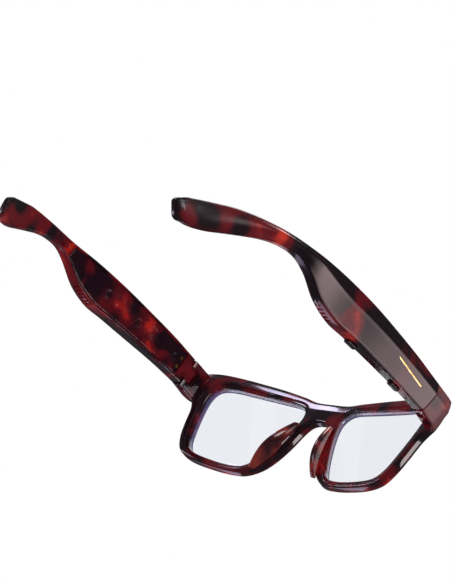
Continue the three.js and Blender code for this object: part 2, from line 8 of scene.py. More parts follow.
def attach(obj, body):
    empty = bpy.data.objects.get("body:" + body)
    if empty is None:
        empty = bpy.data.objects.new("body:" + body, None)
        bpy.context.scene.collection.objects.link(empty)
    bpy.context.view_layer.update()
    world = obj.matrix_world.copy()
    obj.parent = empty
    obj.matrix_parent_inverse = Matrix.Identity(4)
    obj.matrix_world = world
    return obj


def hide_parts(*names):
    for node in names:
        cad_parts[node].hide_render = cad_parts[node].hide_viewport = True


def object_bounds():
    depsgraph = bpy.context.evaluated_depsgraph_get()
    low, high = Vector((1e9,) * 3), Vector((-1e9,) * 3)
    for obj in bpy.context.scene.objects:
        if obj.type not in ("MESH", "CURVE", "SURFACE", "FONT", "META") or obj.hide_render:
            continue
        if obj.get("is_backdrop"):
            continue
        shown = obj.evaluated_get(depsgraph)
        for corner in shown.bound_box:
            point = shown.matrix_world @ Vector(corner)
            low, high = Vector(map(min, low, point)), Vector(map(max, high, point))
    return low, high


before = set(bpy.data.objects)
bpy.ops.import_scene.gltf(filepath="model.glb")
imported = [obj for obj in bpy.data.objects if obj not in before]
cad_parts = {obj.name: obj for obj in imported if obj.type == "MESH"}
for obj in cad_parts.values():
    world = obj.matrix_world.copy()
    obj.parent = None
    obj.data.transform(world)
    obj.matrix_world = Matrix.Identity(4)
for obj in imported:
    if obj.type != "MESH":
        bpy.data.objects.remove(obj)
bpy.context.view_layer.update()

scene = bpy.context.scene

# ---- camera ----
# A long lens stands behind, below and to the wearer's right, so that the glasses are seen from the inner side.
# Looking is its line of sight, and across points to the right of the picture.
camera = bpy.data.objects.new("camera", bpy.data.cameras.new("camera"))
scene.collection.objects.link(camera)
camera.data.lens = 111.74
camera.data.sensor_width = 36
camera.data.clip_start = 0.02
camera.data.clip_end = 20
looking = Vector((0.726731, -0.512374, 0.457532))
across = Vector((-0.685810, -0.503293, 0.525701))
upward = across.cross(looking)
camera.matrix_world = Matrix((across, upward, -looking)).transposed().to_4x4()
camera.location = (-0.514277, 0.365969, -0.291559)
scene.camera = camera

# ---- studio ----
# A white sweep, a dim room and soft boxes of thin cloth, hung round the glasses so that each lights one edge.
# The floor is a sheet of pale paper. It shows from above only, since the camera looks up past its edge.
FLOOR_REACH, FLOOR_DROP = 2.5, 0.0004
ROOM_LIGHT, FLOOR_GLOW = 0.1, 0.6
scene.view_settings.view_transform = "Standard"


def wire(tree, kind, settings=(), **inputs):
    """Adds one node; inputs are values or the sockets that feed them, by name or number."""
    made = tree.nodes.new(kind)
    for name, value in dict(settings).items():
        setattr(made, name, value)
    for name, value in inputs.items():
        slot = made.inputs[int(name[1:])] if name[1:].isdigit() else made.inputs[name.replace("_", " ")]
        if isinstance(value, bpy.types.NodeSocket):
            tree.links.new(value, slot)
        else:
            slot.default_value = value
    return made


def reckon(tree, a, b, how="ADD"):
    """One sum on two numbers or sockets."""
    return wire(tree, "ShaderNodeMath", {"operation": how}, _0=a, _1=b).outputs[0]


def blend_colour(tree, share, first, second):
    made = wire(tree, "ShaderNodeMix", {"data_type": "RGBA"}, Factor=share)
    for slot, value in ((made.inputs[6], first), (made.inputs[7], second)):
        if isinstance(value, bpy.types.NodeSocket):
            tree.links.new(value, slot)
        else:
            slot.default_value = value
    return made.outputs[2]


def finish_of(name, **plain):
    """A new material, with its tree, its surface and the coordinates it is drawn in."""
    made = bpy.data.materials.new(name)
    made.use_nodes = True
    surface = made.node_tree.nodes["Principled BSDF"]
    for label, value in plain.items():
        surface.inputs[label.replace("_", " ")].default_value = value
    return made, made.node_tree, surface, wire(made.node_tree, "ShaderNodeTexCoord").outputs["Object"]


def soft_box(name, at, aim, size, power, colour):
    lamp = bpy.data.lights.new(name, "AREA")
    lamp.shape = "RECTANGLE"
    lamp.size, lamp.size_y = size
    lamp.energy = power
    lamp.color = colour
    holder = bpy.data.objects.new(name, lamp)
    scene.collection.objects.link(holder)
    holder.location = at
    holder.rotation_euler = (Vector(aim) - Vector(at)).to_track_quat("-Z", "Y").to_euler()
    holder.visible_camera = False


world = bpy.data.worlds.new("studio")
scene.world = world
world.use_nodes = True
tree = world.node_tree
tree.nodes.clear()
seen = wire(tree, "ShaderNodeBackground", Color=(1, 1, 1, 1), Strength=1.0)
room = wire(tree, "ShaderNodeBackground", Color=(0.93, 0.94, 1, 1), Strength=ROOM_LIGHT)
rays = wire(tree, "ShaderNodeLightPath").outputs
straight = reckon(tree, rays["Is Camera Ray"], rays["Is Transmission Ray"], "MAXIMUM")
mixed = wire(tree, "ShaderNodeMixShader", _0=straight, _1=room.outputs[0], _2=seen.outputs[0])
wire(tree, "ShaderNodeOutputWorld", Surface=mixed.outputs[0])

soft_box("side box", (-1.0, -0.62, 0.15), (-0.07, 0.02, 0.03), (0.5, 0.28), 2.3, (1, 0.88, 0.9))
soft_box("brow box", (0.76, 0.54, 0.78), (0.02, 0, 0.04), (0.4, 0.15), 1.7, (0.8, 0.74, 1))
soft_box("sky box", (0.1, 0.1, 1.3), (0, 0.03, 0.02), (0.5, 0.5), 5, (1, 0.96, 0.97))
soft_box("ear box", (-1.0, 0.42, 0.62), (-0.05, 0.05, 0.03), (0.3, 0.3), 0.7, (1, 0.8, 0.8))
soft_box("fill box", (-0.62, 0.9, 0.56), (0, 0, 0.03), (0.4, 0.3), 2.0, (1, 0.95, 0.97))
soft_box("low edge box", (0.87, 0.66, -0.42), (0, -0.04, 0.02), (0.7, 0.12), 2.4, (0.86, 0.82, 1))
soft_box("under box", (0.74, -0.62, -0.68), (0, 0, 0.02), (0.45, 0.4), 0.9, (0.8, 0.68, 0.95))

mesh = bpy.data.meshes.new("floor")
corners = [(x * FLOOR_REACH, y * FLOOR_REACH, -FLOOR_DROP) for x, y in ((-1, -1), (1, -1), (1, 1), (-1, 1))]
mesh.from_pydata(corners, [], [(0, 1, 2, 3)])
floor = bpy.data.objects.new("floor", mesh)
scene.collection.objects.link(floor)
paper, tree, surface, spot = finish_of("floor paper", Roughness=0.8)
grain = wire(tree, "ShaderNodeTexNoise", Vector=spot, Scale=30.0)
shade = blend_colour(tree, grain.outputs["Fac"], (0.86, 0.86, 0.86, 1), (0.9, 0.9, 0.9, 1))
tree.links.new(shade, surface.inputs["Base Color"])
rays = wire(tree, "ShaderNodeLightPath").outputs
glow = wire(tree, "ShaderNodeEmission", Color=(0.93, 0.93, 0.94, 1))
evened = wire(tree, "ShaderNodeMixShader", _0=reckon(tree, rays["Is Camera Ray"], FLOOR_GLOW, "MULTIPLY"),
              _1=surface.outputs[0], _2=glow.outputs[0])
from_above = reckon(tree, 1.0, wire(tree, "ShaderNodeNewGeometry").outputs["Backfacing"], "SUBTRACT")
looked_at = reckon(tree, rays["Is Camera Ray"], rays["Is Diffuse Ray"], "MAXIMUM")
either = wire(tree, "ShaderNodeMixShader", _0=reckon(tree, from_above, looked_at, "MULTIPLY"),
              _1=wire(tree, "ShaderNodeBsdfTransparent").outputs[0], _2=evened.outputs[0])
tree.links.new(either.outputs[0], tree.nodes["Material Output"].inputs["Surface"])
mesh.materials.append(paper)
floor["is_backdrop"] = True

# ---- front frame ----
# One acetate plate with the brow bar, both rims, the bridge and the end pieces that carry the hinge ears.
# It is cut from marbled sheet, bent to the face's curve and barrel polished, so every edge is round and glossy.
MM = 0.001
GAP = 0.3  # clearance round a piece that turns or drops in
RIM_DEPTH, WRAP = 4.6, 0.0025  # the face curve puts each point back by WRAP times the square of its x
BACK_EDGE, FORE_EDGE, BACK_SEAT, FORE_SEAT = 1.5, 1.3, 0.55, 0.6  # radii of the rim's rounded edges
STEP_DEEP, STEP_AT = 0.38, 1.75  # the fine step round each lens
BROW_FROM, BROW_FULL = 35, 4
BRIDGE_FOOT, BRIDGE_TALL = 32.3, 10.1
SHIFT = np.array([0, -73.3581, 0.0321])  # from this drawing's origin to the part's
LEFT, RIGHT = 1, -1
PIN_X, PIN_Y, EAR = 68.0, 18.6, 2.4
SCREW_RADIUS, HEAD_RADIUS, HEAD_SEAT, SCREW_HOLE_TOP = 0.8, 1.4, 29.3, 39.8
TONGUE_LOW, TONGUE_HIGH, TONGUE_HALF, TONGUE_ROUND, BUSH_RADIUS = 30.7, 37.5, 1.9, 2.1, 1.5
SEAM_Y, SEAM_BOW = 21.4, 0.5
HALF_FRONT = np.array([
    [0, 42.4], [9, 42.5], [17, 44.1], [30, 45.6], [46, 46.0], [58, 45.3], [65.6, 43.6], [68.6, 41.2],
    [69.0, 35], [68.4, 29.4], [66.4, 26.4], [64.6, 22.6], [62.9, 15.2], [60.8, 8.4], [57.2, 3.0],
    [50.5, 0.6], [40, 0], [30, 0.2], [22.2, 1.5], [15.6, 6.0], [11.3, 12.8], [8.7, 20.0], [7.2, 26],
    [5.6, 30.0], [3.4, 31.8], [0, 32.3]])
LENS_EDGE = np.array([
    [10.6, 32.6], [12.0, 37.0], [16.4, 39.0], [28, 39.6], [42, 39.6], [53, 39.0], [58.8, 36.8],
    [60.6, 31.8], [59.8, 24.0], [57.6, 14.0], [55.4, 7.8], [51.2, 4.1], [41, 3.0], [30, 3.1],
    [23.4, 4.9], [19.2, 10.4], [15.2, 18.2], [12.0, 26.2]])
# where each rib across the rim meets the outline and the lens edge, counted in their points
RIBS = np.array([
    [0, 0.9], [1, 1.5], [2, 2], [3, 3], [4, 4.3], [5, 5.4], [6, 6], [7, 6.5], [8, 7], [9, 7.5], [10, 7.8],
    [11, 8.2], [12, 9], [13, 10], [14, 10.8], [15, 11.2], [16, 12.1], [17, 13], [18, 14], [19, 15],
    [20, 15.7], [21, 16.4], [22, 17], [23, 17.5], [24, 17.7], [25, 17.85]])


def round_trip(points, at):
    """Smooth closed line through the points, read at places counted in points."""
    count = len(points)
    at = np.asarray(at, float) % count
    i = np.floor(at).astype(int)
    w = (at - i)[:, None]
    a, b, c, d = (points[(i + k) % count] for k in (-1, 0, 1, 2))
    return 0.5 * (2 * b + (c - a) * w + (2 * a - 5 * b + 4 * c - d) * w**2 + (3 * b - a - 3 * c + d) * w**3)


def nearest(points, line):
    """Distance from each point to a closed line."""
    start, step = line, np.roll(line, -1, 0) - line
    length = (step**2).sum(1)
    out = np.empty(len(points))
    for i in range(0, len(points), 2000):
        rel = points[i:i + 2000, None] - start
        share = np.clip((rel * step).sum(2) / length, 0, 1)
        out[i:i + 2000] = np.sqrt(((rel - share[..., None] * step)**2).sum(2).min(1))
    return out


def rounding(distance, radius):
    """How far a surface drops below its crown near a rounded edge."""
    d = np.clip(distance, 0, radius)
    return radius - np.sqrt(np.maximum(radius**2 - (radius - d)**2, 0))


def in_place(points, side=LEFT):
    return (np.asarray(points, float) * [side, 1, 1] + SHIFT) * MM


def new_piece(name, points, faces, side=LEFT):
    made = bpy.data.meshes.new(name)
    made.from_pydata(in_place(points, side).tolist(), [], faces)
    shape = bmesh.new()
    shape.from_mesh(made)
    bmesh.ops.remove_doubles(shape, verts=shape.verts, dist=1e-7)
    bmesh.ops.recalc_face_normals(shape, faces=shape.faces)
    shape.to_mesh(made)
    shape.free()
    piece = bpy.data.objects.new(name, made)
    scene.collection.objects.link(piece)
    return piece


def loft(rings):
    """Points and faces of a body through equal rings, closed at both ends."""
    rings = np.asarray(rings, float)
    rows, sides = rings.shape[:2]
    faces = []
    for r in range(rows - 1):
        for s in range(sides):
            t = (s + 1) % sides
            faces.append((r * sides + s, r * sides + t, (r + 1) * sides + t, (r + 1) * sides + s))
    faces.append(tuple(range(sides)))
    faces.append(tuple((rows - 1) * sides + s for s in reversed(range(sides))))
    return rings.reshape(-1, 3), faces


def box_body(x0, x1, y0, y1, z0, z1):
    return loft([[(x0, y0, z0), (x1, y0, z0), (x1, y1, z0), (x0, y1, z0)],
                 [(x0, y0, z1), (x1, y0, z1), (x1, y1, z1), (x0, y1, z1)]])


def rod(x, y, z0, z1, radius, sides=48):
    turn = np.linspace(0, 2 * np.pi, sides, endpoint=False)
    ring = np.stack([x + radius * np.cos(turn), y + radius * np.sin(turn), 0 * turn], 1)
    return loft([ring + [0, 0, z0], ring + [0, 0, z1]])


def shape_with(body, tool, how="DIFFERENCE"):
    """Joins, cuts or overlaps two bodies, and leaves one plain mesh."""
    step = body.modifiers.new("shape", "BOOLEAN")
    step.operation, step.solver, step.object = how, "MANIFOLD", tool
    settled = bpy.data.meshes.new_from_object(body.evaluated_get(bpy.context.evaluated_depsgraph_get()))
    body.modifiers.clear()
    body.data = settled
    bpy.data.objects.remove(tool)


def polished(piece, angle=32):
    piece.data.shade_smooth()
    piece.data.set_sharp_from_angle(angle=math.radians(angle))
    return piece


# ribs at even steps along the half outline, then down the middle of the bridge where the halves meet
stations = 300
dense = np.linspace(0, 25, 2501)
whole = np.concatenate([HALF_FRONT, (HALF_FRONT[1:-1] * [-1, 1])[::-1]])
line = round_trip(whole, dense)
travel = np.concatenate([[0], np.cumsum(np.hypot(*np.diff(line, axis=0).T))])
places = np.interp(np.linspace(0, travel[-1], stations), travel, dense)
edge = round_trip(whole, places)
inner_at = np.interp(places, RIBS[:, 0], RIBS[:, 1])
down = np.arange(1, 24) / 24
rise = (1 - np.cos(np.pi * down)) / 2
edge = np.concatenate([edge, np.stack([0 * rise, BRIDGE_FOOT + BRIDGE_TALL * rise], 1)])
inner_at = np.concatenate([inner_at, RIBS[-1, 1] + 1.05 * down])
opening = round_trip(LENS_EDGE, inner_at)
outline = round_trip(whole, np.linspace(0, 50, 1500, endpoint=False))
opening_line = round_trip(LENS_EDGE, np.linspace(0, 18, 600, endpoint=False))
# points along a rib from the lens to the outline, closer at the rounded edges
rows = np.concatenate([[0, 0.012, 0.03, 0.055, 0.085, 0.12, 0.16], np.linspace(0.2, 0.78, 11),
                       [0.82, 0.86, 0.9, 0.93, 0.955, 0.975, 0.99, 1]])
flat = opening[:, None] + (edge - opening)[:, None] * rows[None, :, None]
spots = flat.reshape(-1, 2)
to_edge = nearest(spots, outline)
to_lens = nearest(spots, opening_line)
sweep = WRAP * spots[:, 0]**2
step_in = STEP_DEEP * (1 - 1 / (1 + np.exp(-(to_lens - STEP_AT) / 0.1)))
in_brow = np.clip((spots[:, 1] - BROW_FROM) / BROW_FULL, 0, 1)**2
# the brow's bevel leans evenly from just under its crown and rolls over at the top edge
bevel_at = np.array([0, 0.15, 0.35, 0.6, 0.95, 1.4, 3.9, 4.6, 5.2])
bevel_lean = np.array([1.9, 1.1, 0.7, 0.46, 0.3, 0.21, 0.15, 0.04, 0])
run = np.linspace(0, bevel_at[-1], 521)
lean = np.interp(run, bevel_at, bevel_lean)
fallen = np.concatenate([np.cumsum((lean[::-1][1:] + lean[::-1][:-1]) / 2 * run[1])[::-1], [0]])
brow_slope = np.interp(to_edge, run, fallen)
rounded_edge = (1 - in_brow) * rounding(to_edge, BACK_EDGE) + in_brow * brow_slope
back = sweep - rounded_edge - rounding(to_lens, BACK_SEAT) - step_in
fore = sweep - RIM_DEPTH + rounding(to_edge, FORE_EDGE) + rounding(to_lens, FORE_SEAT)
count, across_rows = len(edge), len(rows)
points = np.concatenate([
    np.stack([spots[:, 0], back, spots[:, 1]], 1), np.stack([spots[:, 0], fore, spots[:, 1]], 1)])
half = count * across_rows
faces = []
for i in range(count):
    j = (i + 1) % count
    for r in range(across_rows - 1):
        a, b = i * across_rows + r, j * across_rows + r
        faces.append((a, b, b + 1, a + 1))
        faces.append((a + half, a + half + 1, b + half + 1, b + half))
    a, b = i * across_rows, j * across_rows
    faces.append((a, a + half, b + half, b))
    if i < stations - 1:
        a, b = a + across_rows - 1, b + across_rows - 1
        faces.append((a, b, b + half, a + half))
both = np.concatenate([points, points * [-1, 1, 1]])
front = new_piece("front_acetate", both, faces + [tuple(k + len(points) for k in f) for f in faces])

INNER_X, OUTER_X, RIDGE_X = 66.0, 71.4, 72.7  # faces of a temple, and the crest of its outer ridge
RIDGE_AT, RIDGE_LIFT = (0.16, 0.3, 0.46), (0.82, 1, 0.72)
END_LOW, END_HIGH = 27.3, 40.9


def section(half_height, width, ridge, crowned=0.0):
    """Outline of a temple or an end piece, as (across, up) pairs; crowned turns the ridge into a round face."""
    soft, fine = min(1.1, half_height / 3), 6
    out = []

    def corner(x, z, radius, start):
        for k in range(fine + 1):
            angle = start + k * math.pi / 2 / fine
            out.append((x + radius * math.cos(angle), z + radius * math.sin(angle)))

    corner(width - soft, -half_height + soft, soft, -math.pi / 2)
    low, high = -half_height + soft, half_height - soft
    for k in range(1, 22):
        up = low + (high - low) * k / 22
        lift = 0
        for shift in (-0.05, -0.025, 0, 0.025, 0.05):
            lift += np.interp(up / half_height + shift, [low / half_height, *RIDGE_AT, high / half_height],
                              [0, *RIDGE_LIFT, 0]) / 5
        crown = 1 - (up / high)**2
        out.append((width + ridge * (lift + (crown - lift) * crowned), up))
    corner(width - soft, half_height - soft, soft, 0)
    tight = soft * 0.8
    corner(tight, half_height - tight, tight, math.pi / 2)
    corner(tight, -half_height + tight, tight, math.pi)
    return out


for side in (LEFT, RIGHT):
    rings = []
    for y in [8.4, 8.6, 8.9, 9.3, 9.8, 10.4, 11.2, 12.2, 13.4, 15, 17, 19, SEAM_Y]:
        tuck = np.interp(y, [8.4, 8.6, 8.9, 9.4, 10.2, 11, 13.4], [3.4, 2.7, 2.2, 1.7, 1.05, 0.65, 0.0])
        grow = np.interp(y, [8.4, 9.4, 11, 13.4, SEAM_Y], [1.4, 1.2, 0.8, 0.4, 0])
        centre = (END_LOW + END_HIGH) / 2 + grow / 2
        tall = (END_HIGH - END_LOW) / 2
        ring = []
        for over, up in section(tall + grow / 2, OUTER_X - (PIN_X - EAR) - tuck, RIDGE_X - OUTER_X):
            bow = SEAM_BOW * max(0, 1 - (up / tall)**2) if y == SEAM_Y else 0
            ring.append((PIN_X - EAR + over, y - bow, centre + up))
        rings.append(ring)
    end = new_piece("end", *loft(rings), side)
    for tool in (
        box_body(PIN_X - 6, PIN_X + EAR + 0.2, PIN_Y - EAR - 0.6, SEAM_Y + 1, TONGUE_LOW - GAP,
                 TONGUE_HIGH + GAP),
        box_body(PIN_X - 0.01, PIN_X + EAR, PIN_Y + EAR, SEAM_Y + 1, 20, 45),
        rod(PIN_X, PIN_Y, 20, SCREW_HOLE_TOP, SCREW_RADIUS + GAP),
        rod(PIN_X, PIN_Y, 20, HEAD_SEAT, HEAD_RADIUS + GAP),
    ):
        shape_with(end, new_piece("tool", *tool, side))
    rounder = new_piece("tool", *box_body(PIN_X - 6, PIN_X, PIN_Y, SEAM_Y + 1, 20.5, 44.5), side)
    shape_with(rounder, new_piece("tool", *rod(PIN_X, PIN_Y, 19, 46, EAR, 96), side))
    shape_with(end, rounder)
    shape_with(front, end, "UNION")
polished(front)


def note(piece, name, values):
    """Keeps one number for each point of a piece, for its material to read."""
    layer = piece.data.attributes.new(name, "FLOAT", "POINT")
    layer.data.foreach_set("value", np.asarray(values, np.float32))


def points_of(piece, side=LEFT):
    """Points and outward normals of a piece, in the millimetres that it was drawn in."""
    co = np.empty(len(piece.data.vertices) * 3)
    piece.data.vertices.foreach_get("co", co)
    turn = np.array([v.normal for v in piece.data.vertices])
    return (co.reshape(-1, 3) / MM - SHIFT) * [side, 1, 1], turn * [side, 1, 1]


def blots(points, spots):
    """Adds up soft round spots, each (x, y, z, radius, strength)."""
    total = np.zeros(len(points))
    for x, y, z, radius, strength in spots:
        away = ((points - [x, y, z])**2).sum(1)
        total += strength * np.exp(-away / radius**2)
    return total


def socket(group, name, kind, way="INPUT", value=None):
    made = group.interface.new_socket(name=name, in_out=way, socket_type="NodeSocket" + kind)
    if value is not None:
        made.default_value = value


def group_of(name, inputs, outputs):
    """A shader node group, with what it is given and what it puts out."""
    made = bpy.data.node_groups.new(name, "ShaderNodeTree")
    for label, kind, value in inputs:
        socket(made, label, kind, value=value)
    for label, kind in outputs:
        socket(made, label, kind, "OUTPUT")
    return made, made.nodes.new("NodeGroupInput").outputs, made.nodes.new("NodeGroupOutput").inputs


def ramp(tree, value, low, high, to_low=0.0, to_high=1.0):
    return wire(tree, "ShaderNodeMapRange", {"interpolation_type": "SMOOTHSTEP"}, Value=value, From_Min=low,
                From_Max=high, To_Min=to_low, To_Max=to_high).outputs["Result"]


marbling, given, out = group_of("marbled acetate", [
    ("Position", "Vector", None), ("Patch Size", "Float", 0.009), ("Placed", "Float", 0.0),
    ("Dark", "Color", (0.006, 0.001, 0.003, 1)), ("Red", "Color", (0.115, 0.002, 0.006, 1)),
    ("Amber", "Color", (0.55, 0.03, 0.012, 1))], [("Colour", "Color"), ("Haze", "Float")])
per_metre = reckon(marbling, 1.0, given["Patch Size"], "DIVIDE")
clouds = wire(marbling, "ShaderNodeTexNoise", Vector=given["Position"], Scale=per_metre,
              Detail=1.5, Roughness=0.4, Distortion=0.4)
flecks = wire(marbling, "ShaderNodeTexNoise", Vector=given["Position"],
              Scale=reckon(marbling, per_metre, 2.3, "MULTIPLY"), Detail=4.0, Roughness=0.6, Distortion=0.5)
patches = reckon(marbling, clouds.outputs["Fac"], given["Placed"])
amber_sum = wire(marbling, "ShaderNodeMath", {"operation": "MULTIPLY_ADD"}, _0=flecks.outputs["Fac"], _1=0.5,
                 _2=patches)
colour = blend_colour(marbling, ramp(marbling, patches, 0.36, 0.6), given["Dark"], given["Red"])
colour = blend_colour(marbling, ramp(marbling, amber_sum.outputs[0], 0.88, 1.2), colour, given["Amber"])
marbling.links.new(colour, out["Colour"])
marbling.links.new(flecks.outputs["Fac"], out["Haze"])

polish_marks, given, out = group_of("polish marks", [
    ("Position", "Vector", None), ("Smooth", "Float", 0.08), ("Handled", "Float", 0.2)],
    [("Roughness", "Float"), ("Height", "Float")])
smears = wire(polish_marks, "ShaderNodeTexNoise", Vector=given["Position"], Scale=90.0, Detail=3.0)
scuffs = wire(polish_marks, "ShaderNodeTexNoise", Vector=given["Position"], Scale=2600.0, Detail=2.0)
mix = wire(polish_marks, "ShaderNodeMix", {"data_type": "FLOAT"}, A=given["Smooth"], B=given["Handled"],
           Factor=ramp(polish_marks, smears.outputs["Fac"], 0.45, 0.75))
polish_marks.links.new(mix.outputs["Result"], out["Roughness"])
polish_marks.links.new(scuffs.outputs["Fac"], out["Height"])


def use_group(tree, group, **inputs):
    return wire(tree, "ShaderNodeGroup", {"node_tree": group}, **inputs)


def dye_with_painted_glow(tree, surface, colour):
    """Colours a piece, and feeds the same colour to its emission as a painted glow that lifts the dark stock.
    """
    tree.links.new(colour, surface.inputs["Base Color"])
    tree.links.new(colour, surface.inputs["Emission Color"])


def polish(tree, surface, spot, smooth, handled, bump, deep=0.00002, blasted=None):
    """Sets a piece's gloss from the polish marks, duller where it is blasted, with a fine bump."""
    marks = use_group(tree, polish_marks, Position=spot, Smooth=smooth, Handled=handled)
    rough = marks.outputs["Roughness"]
    if blasted:
        rough = wire(tree, "ShaderNodeMix", {"data_type": "FLOAT"}, Factor=blasted, A=rough, B=0.36).outputs[0]
    tree.links.new(rough, surface.inputs["Roughness"])
    bumps = wire(tree, "ShaderNodeBump", Height=marks.outputs["Height"], Strength=bump, Distance=deep)
    tree.links.new(bumps.outputs[0], surface.inputs["Normal"])


def kept(tree, name):
    return wire(tree, "ShaderNodeAttribute", {"attribute_name": name}).outputs["Fac"]


acetate, tree, surface, spot = finish_of("marbled acetate", Emission_Strength=0.5, Coat_Roughness=0.03, IOR=1.5)
satin = kept(tree, "satin")
pattern = use_group(tree, marbling, Position=spot, Patch_Size=0.0085, Placed=kept(tree, "amber"),
                    Red=(0.085, 0.002, 0.005, 1), Amber=(0.5, 0.025, 0.012, 1)).outputs["Colour"]
frosted = blend_colour(tree, reckon(tree, satin, 0.6, "MULTIPLY"), pattern, (0.24, 0.165, 0.17, 1))
# the rim's wall round each lens is mixed towards violet-blue: a painted reflection of the lens edge
with_lens_reflection = blend_colour(tree, kept(tree, "painted_lens_reflection"), frosted, (0.23, 0.21, 0.42, 1))
tree.links.new(with_lens_reflection, surface.inputs["Base Color"])
# the pattern also shines as emission, at the strength set above: a painted glow
tree.links.new(pattern, surface.inputs["Emission Color"])
bare = wire(tree, "ShaderNodeMath", {"operation": "MULTIPLY_ADD"}, _0=satin, _1=-0.6, _2=0.6)
tree.links.new(bare.outputs[0], surface.inputs["Coat Weight"])
polish(tree, surface, spot, 0.1, 0.2, 0.05, blasted=satin)
front.data.materials.clear()
front.data.materials.append(acetate)
at, turn = points_of(front)
mirror_at = at.copy()
mirror_at[:, 0] = abs(mirror_at[:, 0])
depth = at[:, 1] - WRAP * at[:, 0]**2
# the seat is the rim's own wall round the lens, between the step and the front face; its violet-blue is a
# painted reflection of the lens edge
on_wall = nearest(mirror_at[:, [0, 2]], opening_line) < 0.25
note(front, "painted_lens_reflection", on_wall * np.clip((-1.6 - depth) / 0.3, 0, 1) * np.clip((depth + 4.4) / 0.3, 0, 1))
note(front, "satin", np.clip((abs(turn[:, 0]) - 0.3) / 0.4, 0, 1) * (abs(at[:, 0]) > 69) * (at[:, 1] > 9))
# amber added along the front of the rims' lower edge is a painted glow, light shining through the thin acetate
painted_underside_glow = np.clip((8 - at[:, 2]) / 8, 0, 1) * np.clip((-1.5 - depth) / 2, 0, 1)
placed_spots = blots(mirror_at, [
    (0, 0, 36, 6.5, -0.3), (62, 5, 44, 5, -0.25), (30, 0, 44, 4, -0.15), (9, 0, 33, 3, 0.2)])
note(front, "amber", placed_spots + 0.22 * painted_underside_glow - 0.04)
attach(front, "front")
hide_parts("front_frame")

# ---- lenses ----
# Two flat plastic lenses with a thin anti-reflection coat, cut to the rims' outline with a bevelled edge.
# Each is pressed from behind into the rim's groove and held by the frame's spring alone.
lens_clear, tree, surface, spot = finish_of("coated lens", Transmission_Weight=1, Roughness=0.0, IOR=1.12)
smears = wire(tree, "ShaderNodeTexNoise", Vector=spot, Scale=28.0, Detail=2.0)
tint = blend_colour(tree, smears.outputs["Fac"], (0.81, 0.83, 0.88, 1), (0.84, 0.86, 0.91, 1))
# lighter slanted bands across the lens are painted reflection streaks
slant = wire(tree, "ShaderNodeMapping", Vector=spot, Rotation=(0, math.radians(-32), 0))
side_on = wire(tree, "ShaderNodeSeparateXYZ", Vector=slant.outputs[0]).outputs[0]
wave = wire(tree, "ShaderNodeMath", {"operation": "SINE"}, _0=reckon(tree, side_on, 150.0, "MULTIPLY"))
painted_reflection_streak = ramp(tree, wave.outputs[0], 0.55, 0.75, 0.0, 0.5)
tree.links.new(blend_colour(tree, painted_reflection_streak, tint, (0.88, 0.89, 0.92, 1)), surface.inputs["Base Color"])

LENS_HALF, LENS_BEVEL = 0.9, 0.15
for word, side in (("left", LEFT), ("right", RIGHT)):
    line = round_trip(LENS_EDGE, np.linspace(0, 18, 180, endpoint=False))
    centre = line.mean(0)
    rings = []
    out = [(share, LENS_HALF) for share in (1.0, 0.75, 0.5, 0.25, 0.02)]
    rim = LENS_HALF - LENS_BEVEL
    for share, y in [(share, -y) for share, y in out[::-1]] + [(1.02, -rim), (1.02, rim)] + out:
        flat = centre + (line - centre) * share
        rings.append(np.stack([flat[:, 0], y - RIM_DEPTH / 2 + WRAP * flat[:, 0]**2, flat[:, 1]], 1))
    lens = polished(new_piece("lens_blank_" + word, *loft(rings), side), 40)
    lens.data.materials.append(lens_clear)
    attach(lens, "front")
    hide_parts("lens_" + word)

# ---- nose pads ----
# Two leaf-shaped pads of thinner marbled acetate, bonded to the back of the front beside the nose.
# They are tumbled and polished, thickest in the middle, and lean outward to follow the nose.
# the emission strength here sets this piece's painted glow
pad_acetate, tree, surface, spot = finish_of("thin marbled acetate", Emission_Strength=0.6, Coat_Weight=0.6,
                                             Coat_Roughness=0.03)
pattern = use_group(tree, marbling, Position=spot, Patch_Size=0.007, Placed=0.02, Dark=(0.022, 0.004, 0.006, 1),
                    Red=(0.14, 0.018, 0.014, 1), Amber=(0.42, 0.05, 0.022, 1))
dye_with_painted_glow(tree, surface, pattern.outputs["Colour"])
polish(tree, surface, spot, 0.1, 0.2, 0.05)
PAD_X, PAD_SPREAD, PAD_TOP, PAD_LENGTH = 9.3, 7.2, 29.2, 25.8
PAD_REACH, PAD_THICK, PAD_LEAN = (1.4, 5.0), (1.1, 1.7), 2.6
for word, side in (("left", LEFT), ("right", RIGHT)):
    rings = []
    for share in np.linspace(0, 1, 60):
        full = math.sin(math.pi * (0.06 + 0.88 * share))
        x = PAD_X + share + PAD_SPREAD * share**2.2
        z = PAD_TOP - PAD_LENGTH * share
        reach = PAD_REACH[0] + PAD_REACH[1] * full
        thick = PAD_THICK[0] + PAD_THICK[1] * full
        angle = np.linspace(0, 2 * np.pi, 48, endpoint=False)
        outer = (1 + np.cos(angle)) / 2
        over = np.sin(angle) * thick * (1 - 0.35 * outer) + PAD_LEAN * full * outer
        behind = WRAP * (x - 1.9)**2 + GAP + reach * outer
        rings.append(np.stack([x + over, behind, z - 0.35 * reach * outer], 1))
    pad = polished(new_piece("pad_leaf_" + word, *loft(rings), side), 60)
    pad.data.materials.append(pad_acetate)
    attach(pad, "front")
    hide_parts("nose_pad_" + word)

# ---- temple shells ----
# Each temple is one moulded shell from the hinge tongue to the hook behind the ear, hollow on its inner side.
# The outer facet below the ridge is blasted satin, greyer near the hinge and near the hook as painted light,
# and the rest is polished like the front.
# the emission strength here sets this piece's painted glow
shell_acetate, tree, surface, spot = finish_of("temple acetate", Emission_Strength=0.4, IOR=1.55)
satin = kept(tree, "satin")
pattern = use_group(tree, marbling, Position=spot, Patch_Size=0.013, Placed=kept(tree, "amber"))
